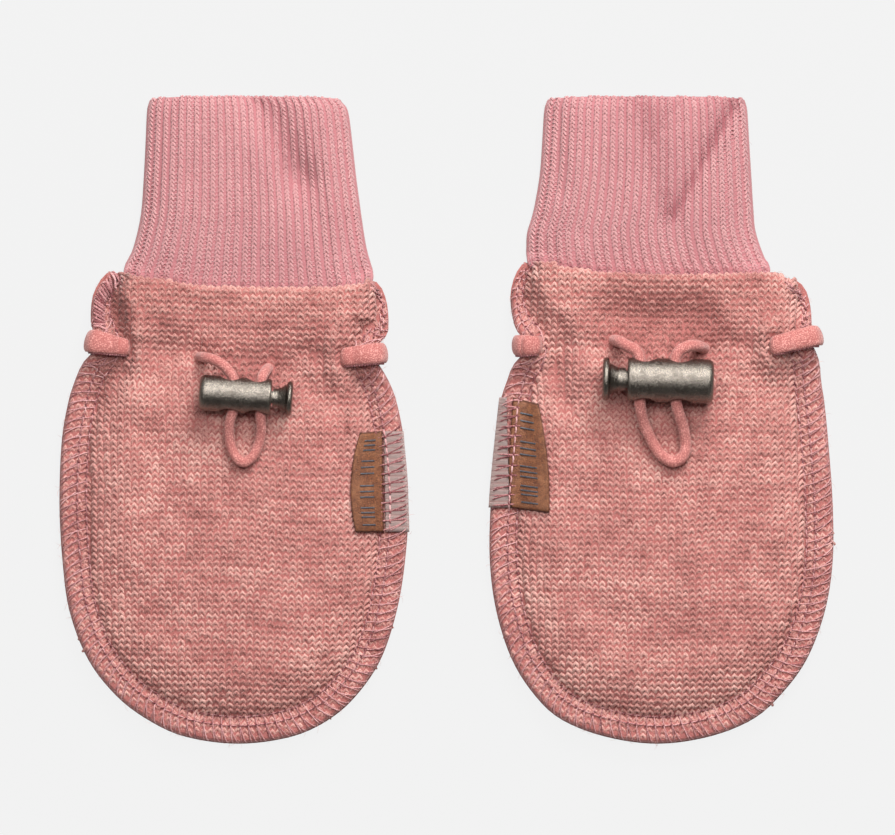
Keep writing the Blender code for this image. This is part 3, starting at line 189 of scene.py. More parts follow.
RIGHT = Mitten(
    name="right",
    centre=48.35,
    spine=-0.8,
    body=table_of(
        BodyRow, (108.3, -31.3, 28.9, 1.6, 1.2), (105.6, -33.0, 32.2, 2.2, 1.4), (101.0, -34.0, 33.5, 2.8, 1.8),
        (95.6, -33.4, 33.8, 3.6, 2.4), (93.2, -32.5, 33.8, 4.0, 3.2), (91.2, -31.2, 33.8, 4.4, 4.2),
        (89.4, -31.0, 34.2, 4.8, 5.5), (87.6, -31.4, 35.1, 5.2, 5.7), (85.0, -33.5, 35.7, 5.5, 5.9),
        (81.5, -34.8, 36.0, 5.8, 6.0), (77.0, -36.2, 36.7, 6.0, 6.1), (68.0, -37.1, 37.6, 6.1, 6.1),
        (54.0, -38.4, 38.6, 6.1, 6.1), (41.0, -38.6, 38.6, 6.1, 6.1), (29.7, -37.1, 36.8, 6.1, 6.1),
        (18.9, -33.6, 32.7, 6.1, 6.1), (10.8, -28.4, 26.7, 6.1, 6.1), (5.4, -22.4, 20.4, 6.1, 6.1),
        (1.6, -12.6, 10.8, 6.1, 6.1),
    ),
    wrist=table_of(
        WristPoint, (-31.3, 108.6), (-25.4, 108.7), (-20.5, 107.4), (-13.5, 106.6), (-2.5, 106.1), (8.3, 106.0),
        (19.4, 106.4), (25.8, 106.6), (28.9, 105.2),
    ),
    cuff=table_of(
        CuffRow, (111.5, -30.4, 22.5, 6.6), (115.2, -30.2, 21.3, 6.9), (120.0, -28.8, 20.8, 7.3),
        (128.0, -27.4, 20.3, 7.5), (136.0, -26.8, 19.8, 7.5), (142.4, -26.4, 19.4, 7.0), (144.6, -25.8, 18.9, 6.2),
    ),
    flare=(0.0, 2.2),
    ribs=25,
    body_folds=table_of(
        Fold, (-10.0, 96.6, 8.0, 96.6, 5.0, 5.0, -2.4, -2.4), (-4.0, 91.0, 5.0, 90.5, 5.5, 5.5, -1.4, -1.4),
        (-27.0, 93.5, -21.5, 76.0, 1.8, 3.0, -1.5, -1.5), (-30.5, 104.0, -27.5, 95.0, 2.0, 2.0, -1.0, -1.0),
        (-22.0, 96.0, -17.0, 84.0, 3.0, 3.5, 0.8, 0.8), (-26.0, 89.6, -14.0, 89.6, 2.4, 3.0, -0.9, -0.9),
        (12.0, 89.6, 25.0, 90.0, 3.0, 2.4, -0.9, -0.9), (14.0, 85.0, 24.0, 80.0, 3.0, 3.5, -0.6, -0.6),
        (-20.0, 34.0, -8.0, 26.0, 6.0, 6.0, -0.6, -0.6), (18.0, 26.0, 27.0, 36.0, 4.0, 4.0, -0.5, -0.5),
        (6.0, 38.0, 9.0, 58.0, 8.0, 8.0, 0.5, 0.5),
    ),
    cuff_folds=table_of(
        Fold, (-23.6, 146.0, -23.0, 124.0, 1.3, 1.6, -0.5, -0.5), (-12.0, 130.0, -18.0, 116.0, 3.0, 3.5, -0.4, -0.4),
    ),
    loops=(SideLoop(-1, -33.7, 89.7, -28.0, 89.7), SideLoop(1, 36.3, 91.9, 25.3, 89.7)),
    lock=Lock(1.9, 81.75, 178.55, 19.3, 4.95, 2.9, 2.6, 4.15, 4.85, 1.5, (-2.05, 5.85), 2.75),
    cord_radius=1.35,
    route=table_of(
        RoutePoint, (-10.6, 90.8, 0.05), (-9.6, 90.5, 0.5), (-8.1, 89.7, 0.86), (-5.7, 88.3, 1.0),
        (-4.95, 85.6, 1.0), (-5.05, 81.9, 1.0), (-5.1, 78.4, 1.0), (-4.8, 75.4, 0.8), (-4.0, 72.1, 0.3),
        (-2.3, 68.3, 0.0), (-0.3, 65.2, 0.0), (2.5, 63.5, 0.0), (4.9, 65.0, 0.0), (5.3, 68.2, 0.0),
        (4.6, 71.8, 0.35), (3.5, 75.2, 0.82), (2.95, 78.4, 1.0), (2.85, 81.7, 1.0), (2.8, 85.6, 1.0),
        (3.7, 88.2, 1.0), (6.0, 89.5, 0.9), (8.1, 89.5, 0.5), (9.5, 89.0, 0.05),
    ),
    label=table_of(
        Label, (78.0, -33.4, -27.6, -36.5, -1.5), (69.9, -33.3, -26.2, -37.4, -1.4),
        (63.0, -33.1, -25.4, -38.1, -1.3), (57.6, -32.9, -25.2, -38.6, -1.2), (53.2, -32.6, -25.2, -38.9, -1.1),
    ),
    # Painted shade: darker yarn above and round the lock, by the left seam and in the cuff's crease.
    shade=table_of(
        Fold, (-12.0, 96.0, 10.0, 95.0, 6.0, 6.0, -0.36, -0.36), (-7.0, 89.5, 7.0, 89.5, 3.6, 3.6, -0.3, -0.3),
        (-27.0, 93.5, -21.5, 78.0, 2.0, 3.0, -0.14, -0.14), (-5.0, 46.0, 8.0, 40.0, 8.0, 8.0, -0.06, -0.06),
        (-4.5, 146.0, 1.4, 120.0, 6.0, 2.4, -0.24, -0.22), (17.0, 146.0, 2.8, 119.0, 1.6, 1.2, -0.2, -0.24),
    ),
    crisp=table_of(
        Fold, (-16.0, 146.0, -12.0, 124.0, 11.0, 8.0, 1.0, 0.8), (9.0, 140.0, 7.0, 118.0, 5.0, 4.0, 0.8, 0.8),
    ),
    creases=(Crease(18.2, 146.5, 2.0, 117.5, -1.5, -1.1, 11.0, 4.0, 1.3),),
    seed=23,
)

# ---------------------------------------------------------------- curves and heights


def mix(a, b, share):
    return a + (b - a) * share


def ease(value):
    value = np.clip(value, 0.0, 1.0)
    return value * value * (3.0 - 2.0 * value)


def unit(rows):
    return rows / np.linalg.norm(rows, axis=-1, keepdims=True)


def spline(points, per_span):
    """A smooth curve through rows of numbers, per_span steps for each span."""
    points = np.asarray(points, float)
    padded = np.vstack([2 * points[0] - points[1], points, 2 * points[-1] - points[-2]])
    rows = []
    for a, b, c, d in zip(padded, padded[1:], padded[2:], padded[3:]):
        for step in range(per_span):
            t = step / per_span
            rows.append(
                0.5
                * (2 * b + (c - a) * t + (2 * a - 5 * b + 4 * c - d) * t * t + (3 * b - a - 3 * c + d) * t**3)
            )
    rows.append(points[-1])
    return np.array(rows)


def lengths_along(curve, columns=2):
    steps = np.linalg.norm(np.diff(curve[:, :columns], axis=0), axis=1)
    return np.concatenate([[0.0], np.cumsum(steps)])


def at_lengths(curve, wanted, columns=2):
    """Rows of a curve at the wanted distances along it."""
    along = lengths_along(curve, columns)
    return np.stack([np.interp(wanted, along, curve[:, i]) for i in range(curve.shape[1])], 1)


def eased_table(keys, values, x):
    """A value read from a table by an eased blend between its two nearest rows."""
    keys, values = np.asarray(keys, float), np.asarray(values, float)
    spot = np.clip(np.searchsorted(keys, x) - 1, 0, len(keys) - 2)
    share = ease((x - keys[spot]) / (keys[spot + 1] - keys[spot]))
    return mix(values[spot], values[spot + 1], share)


def lumps(x, y, size, seed):
    """Smooth random bumps between -1 and 1, about size mm apart."""
    table = np.random.default_rng(seed).uniform(-1, 1, (97, 97))
    u, v = np.asarray(x) / size + 40.0, np.asarray(y) / size + 5.0
    i, j = np.floor(u).astype(int), np.floor(v).astype(int)
    fu, fv = ease(u - i), ease(v - j)
    low = mix(table[i % 97, j % 97], table[(i + 1) % 97, j % 97], fu)
    high = mix(table[i % 97, (j + 1) % 97], table[(i + 1) % 97, (j + 1) % 97], fu)
    return mix(low, high, fv)


def fold_depth(folds, x, y):
    total = np.zeros(np.shape(x))
    for fold in folds:
        run = np.array((fold.x1 - fold.x0, fold.y1 - fold.y0))
        away_x, away_y = x - fold.x0, y - fold.y0
        share = np.clip((away_x * run[0] + away_y * run[1]) / (run @ run), 0, 1)
        width = mix(fold.width0, fold.width1, share)
        distance = np.hypot(away_x - run[0] * share, away_y - run[1] * share) / width
        total += mix(fold.depth0, fold.depth1, share) * np.exp(-(distance**2))
    return total


def crease_depth(creases, x, y, wider=1.0):
    """A valley along a line, with a long slope on its left and a steep wall on its right."""
    total = np.zeros(np.shape(x))
    for crease in creases:
        run = np.array((crease.x1 - crease.x0, crease.y1 - crease.y0))
        away_x, away_y = x - crease.x0, y - crease.y0
        share = (away_x * run[0] + away_y * run[1]) / (run @ run)
        aside = (away_x * run[1] - away_y * run[0]) / np.hypot(*run)
        near = np.clip(share, 0, 1)
        slope = np.exp(-((np.maximum(aside, 0) / mix(crease.soft0, crease.soft1, near)) ** 1.5))
        wall = np.exp(-((np.minimum(aside, 0) / (crease.wall * wider)) ** 2))
        depth = mix(crease.depth0, crease.depth1, near) * (1 - ease((share - 0.8) / 0.35))
        total += depth * (1 + np.minimum(share, 0)) * slope * wall
    return total


def loop_edge(loop):
    """Where the seam's edge lies inside a wrapped elastic."""
    return loop.outer - loop.side * (BAND_THICK + LOOP_CLEAR)


def loop_reach(loop):
    """How far a wrapped elastic runs over the cloth, from the seam's edge to its entry."""
    return abs(loop_edge(loop) - loop.entry)


class Form:
    """The heights of one mitten's cloth, worked out from its tables."""

    def __init__(self, mitten):
        self.mitten = mitten
        down = [(row.left, row.height, row.band_left) for row in mitten.body]
        up = [(row.right, row.height, row.band_right) for row in reversed(mitten.body)]
        tip = (mix(mitten.body[-1].left, mitten.body[-1].right, 0.5), 0.0, mitten.body[-1].band_left)
        self.outline = spline([*down, tip, *up], 8)
        first, last = mitten.route[0], mitten.route[-1]
        self.dimples = [Fold(p.x, p.y, p.x + 0.1, p.y, 1.9, 1.9, -0.9, -0.9) for p in (first, last)]
        for loop in mitten.loops:
            x, y = loop.entry - loop.side * 0.5, loop.entry_height
            self.dimples.append(Fold(x, y - 1.4, x, y + 1.4, 1.5, 1.5, -1.1, -1.1))
        self.rim = self.rolled_rim()
        self.along = lengths_along(self.rim)

    def rolled_rim(self):
        """The seam's edge as sewn: bent to the wrist edge and carried on over its roll."""
        x, y, band = self.outline.T
        corner = np.where(np.arange(len(x)) < len(x) / 2, y[0], y[-1])
        level = np.maximum((y + y[::-1]) / 2, POLE)
        follow = 1 - ease((level[0] - level) / WRIST_ZONE)
        bent = np.stack([x, y + (self.wrist(x) - ROLL - corner) * follow, band], 1)
        over = np.array((0.9, ROLLED_ROWS - 0.2, 0.0))
        return np.vstack([bent[:1] + over, bent, bent[-1:] + over * (-1, 1, 1)])

    def edge(self, x, y):
        """Distance inwards from the seam's edge and the seam's width there."""
        x, y = np.asarray(x, float), np.asarray(y, float)
        flat = np.stack([x.ravel(), y.ravel()], 1)
        a, b = self.outline[:-1], self.outline[1:]
        run = (b - a)[:, :2]
        size = (run**2).sum(1)
        found = np.empty((len(flat), 2))
        for start in range(0, len(flat), 3000):
            away = flat[start : start + 3000, None, :] - a[None, :, :2]
            share = np.clip((away * run).sum(2) / size, 0, 1)
            gap = away - run * share[..., None]
            distance = np.hypot(gap[..., 0], gap[..., 1])
            pick = distance.argmin(1)
            rows = np.arange(len(pick))
            inside = np.sign(run[pick, 0] * away[rows, pick, 1] - run[pick, 1] * away[rows, pick, 0])
            part = share[rows, pick]
            found[start : start + 3000, 0] = distance[rows, pick] * np.where(inside < 0, -1, 1)
            found[start : start + 3000, 1] = mix(a[pick, 2], b[pick, 2], part)
        return [column.reshape(x.shape) for column in found.T]

    def wrist(self, x):
        points = self.mitten.wrist
        return eased_table([p.x for p in points], [p.height for p in points], x)

    def lift(self, x, y, inwards):
        total = np.zeros(np.shape(x))
        for loop in self.mitten.loops:
            reach = loop_reach(loop)
            middle = mix(loop.outer_height, loop.entry_height, np.minimum(1.0, inwards / reach))
            near = np.exp(-(((y - middle) / LOOP_SPREAD) ** 2)) * (loop.side * x > 0)
            total += LOOP_LIFT * near * (1 - ease((inwards - reach - LIFT_START) / LIFT_END))
        return total

    def front(self, x, y, fine=1.0):
        """Top of the front panel, with its wrist edge rolled over."""
        x, y = np.asarray(x, float), np.asarray(y, float)
        inwards, band = self.edge(x, y)
        inwards = np.maximum(inwards, 0.0)
        to_wrist = self.wrist(x) - y
        low = ease(to_wrist / WRIST_ZONE)
        rise = mix(WRIST_RISE, BODY_RISE, low)
        share = np.clip((inwards - band) / rise, 0, 1)
        puff = PUFF * (1 - (1 - share) ** PUFF_POWER)
        middle = CROWN * ease((inwards - band - rise) / CROWN_RISE)
        crown = mix(WRIST_CROWN, middle, low) * ease(share)
        groove = NEEDLE_GROOVE * np.exp(-(((inwards - band) / GROOVE_WIDTH) ** 2))
        rounding = EDGE_DROP * np.clip(1 - inwards / EDGE_ROUND, 0, 1) ** 2
        past_seam = ease((inwards - band * 0.6) / band)
        folds = fold_depth(self.mitten.body_folds, x, y) * past_seam
        folds = folds + fold_depth(self.dimples, x, y) * fine
        uneven = 0.16 * lumps(x, y, 5.5, self.mitten.seed) + 0.14 * lumps(x, y, 11.0, self.mitten.seed + 1)
        height = SEAM_TOP + puff + crown + folds - groove - rounding + uneven * fine * ease(inwards / 3.0)
        height = np.maximum(height, SEAM_TOP - EDGE_DROP - GAP)
        over = np.clip(1 - to_wrist / ROLL, 0, 1)
        drop = ROLL * (1 - np.sqrt(np.clip(1 - over * over, 0, 1)))
        return height + self.lift(x, y, inwards) - drop * np.clip((height - SEAM_TOP) / PUFF, 0.15, 1.0)

    def rolled(self, x, up):
        """Places on the front for lengths up the hand, carried over the wrist edge's roll."""
        start = self.wrist(x) - ROLL
        turn = np.clip((up - start) / ROLL, 0, math.pi / 2)
        y = np.where(up > start, start + ROLL * np.sin(turn), up)
        return np.stack([x, y, self.front(x, y)], -1)

    def flat_back(self, x, up):
        return np.stack([x, up, self.underside(x, up) + BACK_LIFT], -1)

    def back_top(self, x, y):
        inwards, band = self.edge(x, y)
        swell = BACK_SWELL * ease((inwards - band) / SWELL_RISE)
        return BACK_WALL + swell + self.lift(x, y, np.maximum(inwards, 0.0))

    def underside(self, x, y):
        """Lowest face of the back panel, before its stitches."""
        inwards = np.maximum(self.edge(x, y)[0], 0.0)
        return self.lift(x, y, inwards) + 0.4 * np.clip(1 - inwards / EDGE_ROUND, 0, 1) ** 2

    def to_world(self, points):
        """Local millimetres as metres in the pair's frame."""
        return (np.asarray(points, float) + np.array((self.mitten.centre, -PAIR_LENGTH / 2, 0.0))) * MM


def with_normals(surface, x, up, step=0.25):
    """Points of a surface and its unit normals, both from its places at (x, up)."""
    across = surface(x + step, up) - surface(x - step, up)
    along = surface(x, up + step) - surface(x, up - step)
    normal = np.cross(across, along)
    return surface(x, up), normal / np.maximum(np.linalg.norm(normal, axis=-1, keepdims=True), 1e-9)


# ---------------------------------------------------------------- node trees

SOCKETS = {float: "NodeSocketFloat", int: "NodeSocketInt", tuple: "NodeSocketColor"}


def node_group(name, kind, inputs, outputs):
    """A tree with what it is given and what it gives out; an input is a default value or a kind of socket."""
    tree = bpy.data.node_groups.new(name, kind)
    for label, default in inputs.items():
        is_kind = isinstance(default, str)
        socket_type = default if is_kind else SOCKETS[type(default)]
        made = tree.interface.new_socket(name=label, in_out="INPUT", socket_type=socket_type)
        if not is_kind:
            made.default_value = default
    for label, socket_type in outputs.items():
        tree.interface.new_socket(name=label, in_out="OUTPUT", socket_type=socket_type)
    return tree, tree.nodes.new("NodeGroupInput").outputs, tree.nodes.new("NodeGroupOutput").inputs


def fed(tree, target, value):
    """Gives an input a number, a colour or another node's output."""
    if isinstance(value, bpy.types.NodeSocket):
        tree.links.new(value, target)
    else:
        target.default_value = (*value, 1.0) if target.type == "RGBA" else value


def add(tree, kind, inputs=(), **settings):
    """A node with its settings and its inputs."""
    node = tree.nodes.new(kind)
    for name, value in settings.items():
        setattr(node, name, value)
    for name, value in dict(inputs).items():
        fed(tree, node.inputs[name], value)
    return node


def joined(tree, first, second, kind="ADD", clamp=False):
    return add(tree, "ShaderNodeMath", {0: first, 1: second}, operation=kind, use_clamp=clamp).outputs[0]


def blended(tree, share, first, second):
    return add(tree, "ShaderNodeMix", {0: share, 6: first, 7: second}, data_type="RGBA").outputs[2]


def noise_of(tree, vector, scale, detail, rough=0.5):
    inputs = {"Vector": vector, "Scale": scale, "Detail": detail, "Roughness": rough}
    return add(tree, "ShaderNodeTexNoise", inputs).outputs["Fac"]


def ranged(tree, value, low, high, out_low=0.0, out_high=1.0):
    inputs = {"Value": value, "From Min": low, "From Max": high, "To Min": out_low, "To Max": out_high}
    return add(tree, "ShaderNodeMapRange", inputs, interpolation_type="SMOOTHSTEP").outputs["Result"]


def coordinates(tree, name="Object"):
    return add(tree, "ShaderNodeTexCoord").outputs[name]


def attribute(tree, name):
    return add(tree, "ShaderNodeAttribute", attribute_name=name).outputs["Fac"]


def placed(tree, group, **values):
    """A shader group in a material; returns its outputs."""
    inputs = {name.replace("_", " "): value for name, value in values.items()}
    return add(tree, "ShaderNodeGroup", inputs, node_tree=group).outputs


def melange_group():
    """Yarn spun from fibres of several shades: colour by tone, patches and single fibres."""
    tree, given, out = node_group(
        "melange_yarn", "ShaderNodeTree",
        {
            "Vector": "NodeSocketVector", "Tone": 0.5, "Dark": (0.3, 0.1, 0.1, 1), "Middle": (0.5, 0.25, 0.22, 1),
            "Light": (0.7, 0.45, 0.4, 1), "Fibre Scale": 4000.0, "Patch Scale": 140.0, "Patchiness": 0.5,
            "Fibre Contrast": 0.9,
        },
        {"Colour": "NodeSocketColor", "Height": "NodeSocketFloat"},
    )
    fibre = noise_of(tree, given["Vector"], given["Fibre Scale"], 2.0, 0.6)
    patch = noise_of(tree, given["Vector"], given["Patch Scale"], 3.0, 0.6)
    patched = joined(tree, joined(tree, patch, -0.5), given["Patchiness"], "MULTIPLY")
    fibred = joined(tree, joined(tree, fibre, -0.5), given["Fibre Contrast"], "MULTIPLY")
    tone = joined(tree, joined(tree, given["Tone"], patched), fibred, clamp=True)
    low = blended(tree, ranged(tree, tone, 0.0, 0.5), given["Dark"], given["Middle"])
    fed(tree, out["Colour"], blended(tree, ranged(tree, tone, 0.5, 1.0), low, given["Light"]))
    fed(tree, out["Height"], fibre)
    return tree


MASK_AND_HEIGHT = {"Mask": "NodeSocketFloat", "Height": "NodeSocketFloat"}


def weave_group():
    """Warp and weft of a woven tape or braid along the piece's own UV map."""
    inputs = {"Vector": "NodeSocketVector", "Across": 40.0, "Along": 80.0, "Slant": 0.0}
    tree, given, out = node_group("weave", "ShaderNodeTree", inputs, MASK_AND_HEIGHT)
    split = add(tree, "ShaderNodeSeparateXYZ", {0: given["Vector"]}).outputs
    slanted = joined(tree, split[1], given["Slant"], "MULTIPLY")
    u = joined(tree, joined(tree, split[0], slanted), given["Across"], "MULTIPLY")
    v = joined(tree, joined(tree, split[1], slanted, "SUBTRACT"), given["Along"], "MULTIPLY")
    waves = []
    for turn in (u, v):
        sine = joined(tree, joined(tree, turn, 2 * math.pi, "MULTIPLY"), 0.0, "SINE")
        waves.append(joined(tree, sine, 0.0, "ABSOLUTE"))
    height = joined(tree, *waves, "MULTIPLY")
    fed(tree, out["Height"], height)
    fed(tree, out["Mask"], ranged(tree, height, 0.05, 0.6))
    return tree


def wear_group():
    """Rubbed patches and fine scuffs, with an Edge input for the parts that rub first."""
    inputs = {"Vector": "NodeSocketVector", "Edge": 0.0, "Patch Scale": 500.0, "Grain Scale": 4000.0, "Amount": 0.5}
    tree, given, out = node_group("rubbed_wear", "ShaderNodeTree", inputs, MASK_AND_HEIGHT)
    patch = noise_of(tree, given["Vector"], given["Patch Scale"], 4.0, 0.65)
    grain = noise_of(tree, given["Vector"], given["Grain Scale"], 3.0, 0.7)
    both = joined(tree, joined(tree, patch, 0.6, "MULTIPLY"), joined(tree, grain, 0.4, "MULTIPLY"))
    raised = joined(tree, joined(tree, both, given["Amount"]), given["Edge"])
    fed(tree, out["Mask"], ranged(tree, raised, 0.85, 1.15))
    fed(tree, out["Height"], grain)
    return tree


GEOMETRY, MATERIAL = "NodeSocketGeometry", "NodeSocketMaterial"


def named_value(tree, name):
    return add(tree, "GeometryNodeInputNamedAttribute", {"Name": name}).outputs["Attribute"]


def finished_tree(tree, last, given, out):
    """Ends a geometry tree with real geometry in its material."""
    real = add(tree, "GeometryNodeRealizeInstances", {0: last.outputs[0]})
    finish = add(tree, "GeometryNodeSetMaterial", {0: real.outputs[0], "Material": given["Material"]})
    fed(tree, out[0], finish.outputs[0])
    return tree


def strand_tree():
    """Geometry nodes that make a yarn or thread along every line of a mesh of loose edges."""
    inputs = {"Geometry": GEOMETRY, "Radius": 0.0003, "Sides": 5, "Unevenness": 0.1, "Seed": 1, "Material": MATERIAL}
    tree, given, out = node_group("strands", "GeometryNodeTree", inputs, {"Geometry": GEOMETRY})
    lines = add(tree, "GeometryNodeMeshToCurve", {0: given["Geometry"]})
    ring = add(tree, "GeometryNodeCurvePrimitiveCircle", {"Resolution": given["Sides"], "Radius": given["Radius"]})
    least, most = (joined(tree, 1.0, given["Unevenness"], kind) for kind in ("SUBTRACT", "ADD"))
    uneven = add(tree, "FunctionNodeRandomValue", {2: least, 3: most, "Seed": given["Seed"]})
    size = joined(tree, named_value(tree, "thick"), uneven.outputs[1], "MULTIPLY")
    inputs = {"Curve": lines.outputs[0], "Profile Curve": ring.outputs[0], "Scale": size, "Fill Caps": True}
    tube = add(tree, "GeometryNodeCurveToMesh", inputs)
    return finished_tree(tree, add(tree, "GeometryNodeSetShadeSmooth", {0: tube.outputs[0]}), given, out)


def fibre_tree():
    """Geometry nodes that scatter one bent fibre over a cloth's faces."""
    inputs = {"Geometry": GEOMETRY, "Fibre": "NodeSocketObject", "Density": 100000.0, "Shortest": 0.6,
              "Longest": 1.4, "Seed": 1, "Material": MATERIAL}
    tree, given, out = node_group("fibres", "GeometryNodeTree", inputs, {"Geometry": GEOMETRY})
    seed = given["Seed"]
    shape = add(tree, "GeometryNodeObjectInfo", {"Object": given["Fibre"]})
    density = joined(tree, named_value(tree, "fuzz"), given["Density"], "MULTIPLY")
    inputs = {"Mesh": given["Geometry"], "Density": density, "Seed": seed}
    spread = add(tree, "GeometryNodeDistributePointsOnFaces", inputs)
    inputs = {0: (-0.5, -0.5, 0.0), 1: (0.5, 0.5, 2 * math.pi), "Seed": seed}
    spin = add(tree, "FunctionNodeRandomValue", inputs, data_type="FLOAT_VECTOR")
    inputs = {0: spread.outputs["Rotation"], 1: spin.outputs[0]}
    turn = add(tree, "FunctionNodeRotateRotation", inputs, rotation_space="LOCAL")
    size = add(tree, "FunctionNodeRandomValue", {2: given["Shortest"], 3: given["Longest"], "Seed": seed})
    inputs = {"Points": spread.outputs["Points"], "Instance": shape.outputs["Geometry"],
              "Rotation": turn.outputs[0], "Scale": size.outputs[1]}
    return finished_tree(tree, add(tree, "GeometryNodeInstanceOnPoints", inputs), given, out)


MELANGE, WEAVE, WEAR = melange_group(), weave_group(), wear_group()
STRANDS, FIBRES = strand_tree(), fibre_tree()

# ---------------------------------------------------------------- materials

Yarn = namedtuple(
    "Yarn", "name dark middle light patch patchiness fibre contrast sheen tint",
    defaults=(3800.0, 0.9, 0.35, (1.0, 0.85, 0.8)),
)
YARNS = {
    "knit": Yarn("felted_knit_yarn", (142, 83, 77), (189, 131, 123), (216, 170, 159), 150.0, 0.6, 3600.0, 1.9),
    # The ground's yarn is darker than the stitches' yarn: painted shade in the gaps between stitches.
    "ground": Yarn("felted_knit_ground", (122, 60, 58), (168, 100, 95), (198, 132, 124), 150.0, 0.6, contrast=1.5),
    "rib": Yarn("rib_yarn", (154, 92, 96), (193, 139, 140), (213, 163, 161), 120.0, 0.3, 4600.0, tint=(1.0, 0.9, 0.9)),
    # The cuff's ground is darker than its rib yarn in the same way: painted shade between the rib stitches.
    "rib_ground": Yarn("rib_ground", (140, 76, 82), (178, 114, 118), (200, 142, 143), 120.0, 0.3),
    "thread": Yarn("overlock_thread", (118, 58, 62), (192, 134, 134), (226, 180, 178), 300.0, 0.3, 3600.0, 1.8, 0.2),
    "hair": Yarn("loose_fibres", (180, 120, 112), (214, 160, 150), (236, 196, 185), 200.0, 0.5),
}


def linear(red, green, blue):
    """A colour given as 0 to 255 on a screen, as the shader wants it."""

    def one(value):
        value /= 255.0
        return value / 12.92 if value <= 0.04045 else ((value + 0.055) / 1.055) ** 2.4

    return (one(red), one(green), one(blue))


def new_material(name, roughness, metallic=0.0, sheen=0.0, tint=None):
    """A material, its tree and its shader's inputs."""
    material = bpy.data.materials.new(name)
    material.use_nodes = True
    shader = material.node_tree.nodes["Principled BSDF"].inputs
    shader["Roughness"].default_value = roughness
    shader["Metallic"].default_value = metallic
    shader["Sheen Weight"].default_value = sheen
    if tint:
        shader["Sheen Tint"].default_value = (*tint, 1.0)
    return material, material.node_tree, shader


def finish(tree, shader, colour, height=None, distance=0.0, strength=1.0):
    """Gives a shader its colour and its relief."""
    fed(tree, shader["Base Color"], colour)
    if height:
        inputs = {"Height": height, "Distance": distance, "Strength": strength}
        fed(tree, shader["Normal"], add(tree, "ShaderNodeBump", inputs).outputs["Normal"])


def melange(tree, tone, colours, fibre, patch, patchiness, contrast):
    dark, middle, light = (linear(*colour) for colour in colours)
    return placed(
        tree, MELANGE, Vector=coordinates(tree), Tone=tone, Dark=dark, Middle=middle, Light=light,
        Fibre_Scale=fibre, Patch_Scale=patch, Patchiness=patchiness, Fibre_Contrast=contrast,
    )


def yarn_material(yarn):
    material, tree, shader = new_material(yarn.name, 0.95, sheen=yarn.sheen, tint=yarn.tint)
    colours = (yarn.dark, yarn.middle, yarn.light)
    spun = melange(tree, attribute(tree, "tone"), colours, yarn.fibre, yarn.patch, yarn.patchiness, yarn.contrast)
    finish(tree, shader, spun["Colour"], spun["Height"], 0.00012, 0.8)
    return material


def worn_material(name, roughness, metallic, dark, light, patch, grain, amount, relief, edge=None, rubbed=None):
    """Metal or foil, lighter where it is rubbed; rubbed gives its roughness in the hollows and on the rubbed parts."""
    material, tree, shader = new_material(name, roughness, metallic)
    wear = placed(
        tree, WEAR, Vector=coordinates(tree), Edge=attribute(tree, edge) if edge else 0.0,
        Patch_Scale=patch, Grain_Scale=grain, Amount=amount,
    )
    colour = blended(tree, wear["Mask"], linear(*dark), linear(*light))
    finish(tree, shader, colour, wear["Height"] if relief else None, relief)
    if rubbed:
        fed(tree, shader["Roughness"], ranged(tree, wear["Mask"], 0.0, 1.0, *rubbed))
    return material


def elastic_material():
    material, tree, shader = new_material("velvet_elastic", 0.9, sheen=0.35, tint=(1.0, 0.8, 0.76))
    weave = placed(tree, WEAVE, Vector=coordinates(tree, "UV"), Across=14.0, Along=1.0, Slant=1.0)
    tone = ranged(tree, weave["Height"], 0.0, 0.8, 0.1, 0.66)
    spun = melange(tree, tone, ((172, 98, 92), (231, 162, 153), (240, 190, 178)), 3400.0, 260.0, 0.35, 1.9)
    height = joined(tree, spun["Height"], joined(tree, weave["Height"], 0.8, "MULTIPLY"))
    finish(tree, shader, spun["Colour"], height, 0.0002)
    return material


def leather_material():
    """Mottled leather with dark pores, rubbed patches and a dark cut edge."""
    material, tree, shader = new_material("brown_leather", 0.62)
    place = coordinates(tree)
    wear = placed(tree, WEAR, Vector=place, Edge=0.0, Patch_Scale=420.0, Grain_Scale=3600.0, Amount=0.46)
    pores = add(tree, "ShaderNodeTexVoronoi", {"Vector": place, "Scale": 2300.0}, feature="DISTANCE_TO_EDGE")
    creased = ranged(tree, pores.outputs["Distance"], 0.0, 0.12)
    mottled = ranged(tree, noise_of(tree, place, 1300.0, 5.0, 0.7), 0.3, 0.7)
    base = blended(tree, mottled, linear(110, 58, 32), linear(164, 100, 60))
    base = blended(tree, joined(tree, creased, 0.6, "MULTIPLY"), linear(92, 54, 40), base)
    base = blended(tree, joined(tree, wear["Mask"], 0.6, "MULTIPLY"), base, linear(176, 120, 82))
    cut = ranged(tree, attribute(tree, "edge"), 0.2, 0.33, 0.0, 0.75)
    height = joined(tree, creased, joined(tree, wear["Height"], 0.6, "MULTIPLY"))
    finish(tree, shader, blended(tree, cut, base, linear(74, 44, 34)), height, 0.00009)
    return material


def ribbon_material():
    material, tree, shader = new_material("woven_ribbon", 0.6, sheen=0.25)
    weave = placed(tree, WEAVE, Vector=coordinates(tree, "UV"), Across=9.0, Along=34.0, Slant=0.0)
    tone = blended(tree, weave["Mask"], linear(142, 108, 104), linear(210, 180, 173))
    patch = ranged(tree, noise_of(tree, coordinates(tree), 500.0, 3.0), 0.35, 0.75, 0.0, 0.3)
    finish(tree, shader, blended(tree, patch, tone, linear(208, 166, 160)), weave["Height"], 0.00012)
    return material


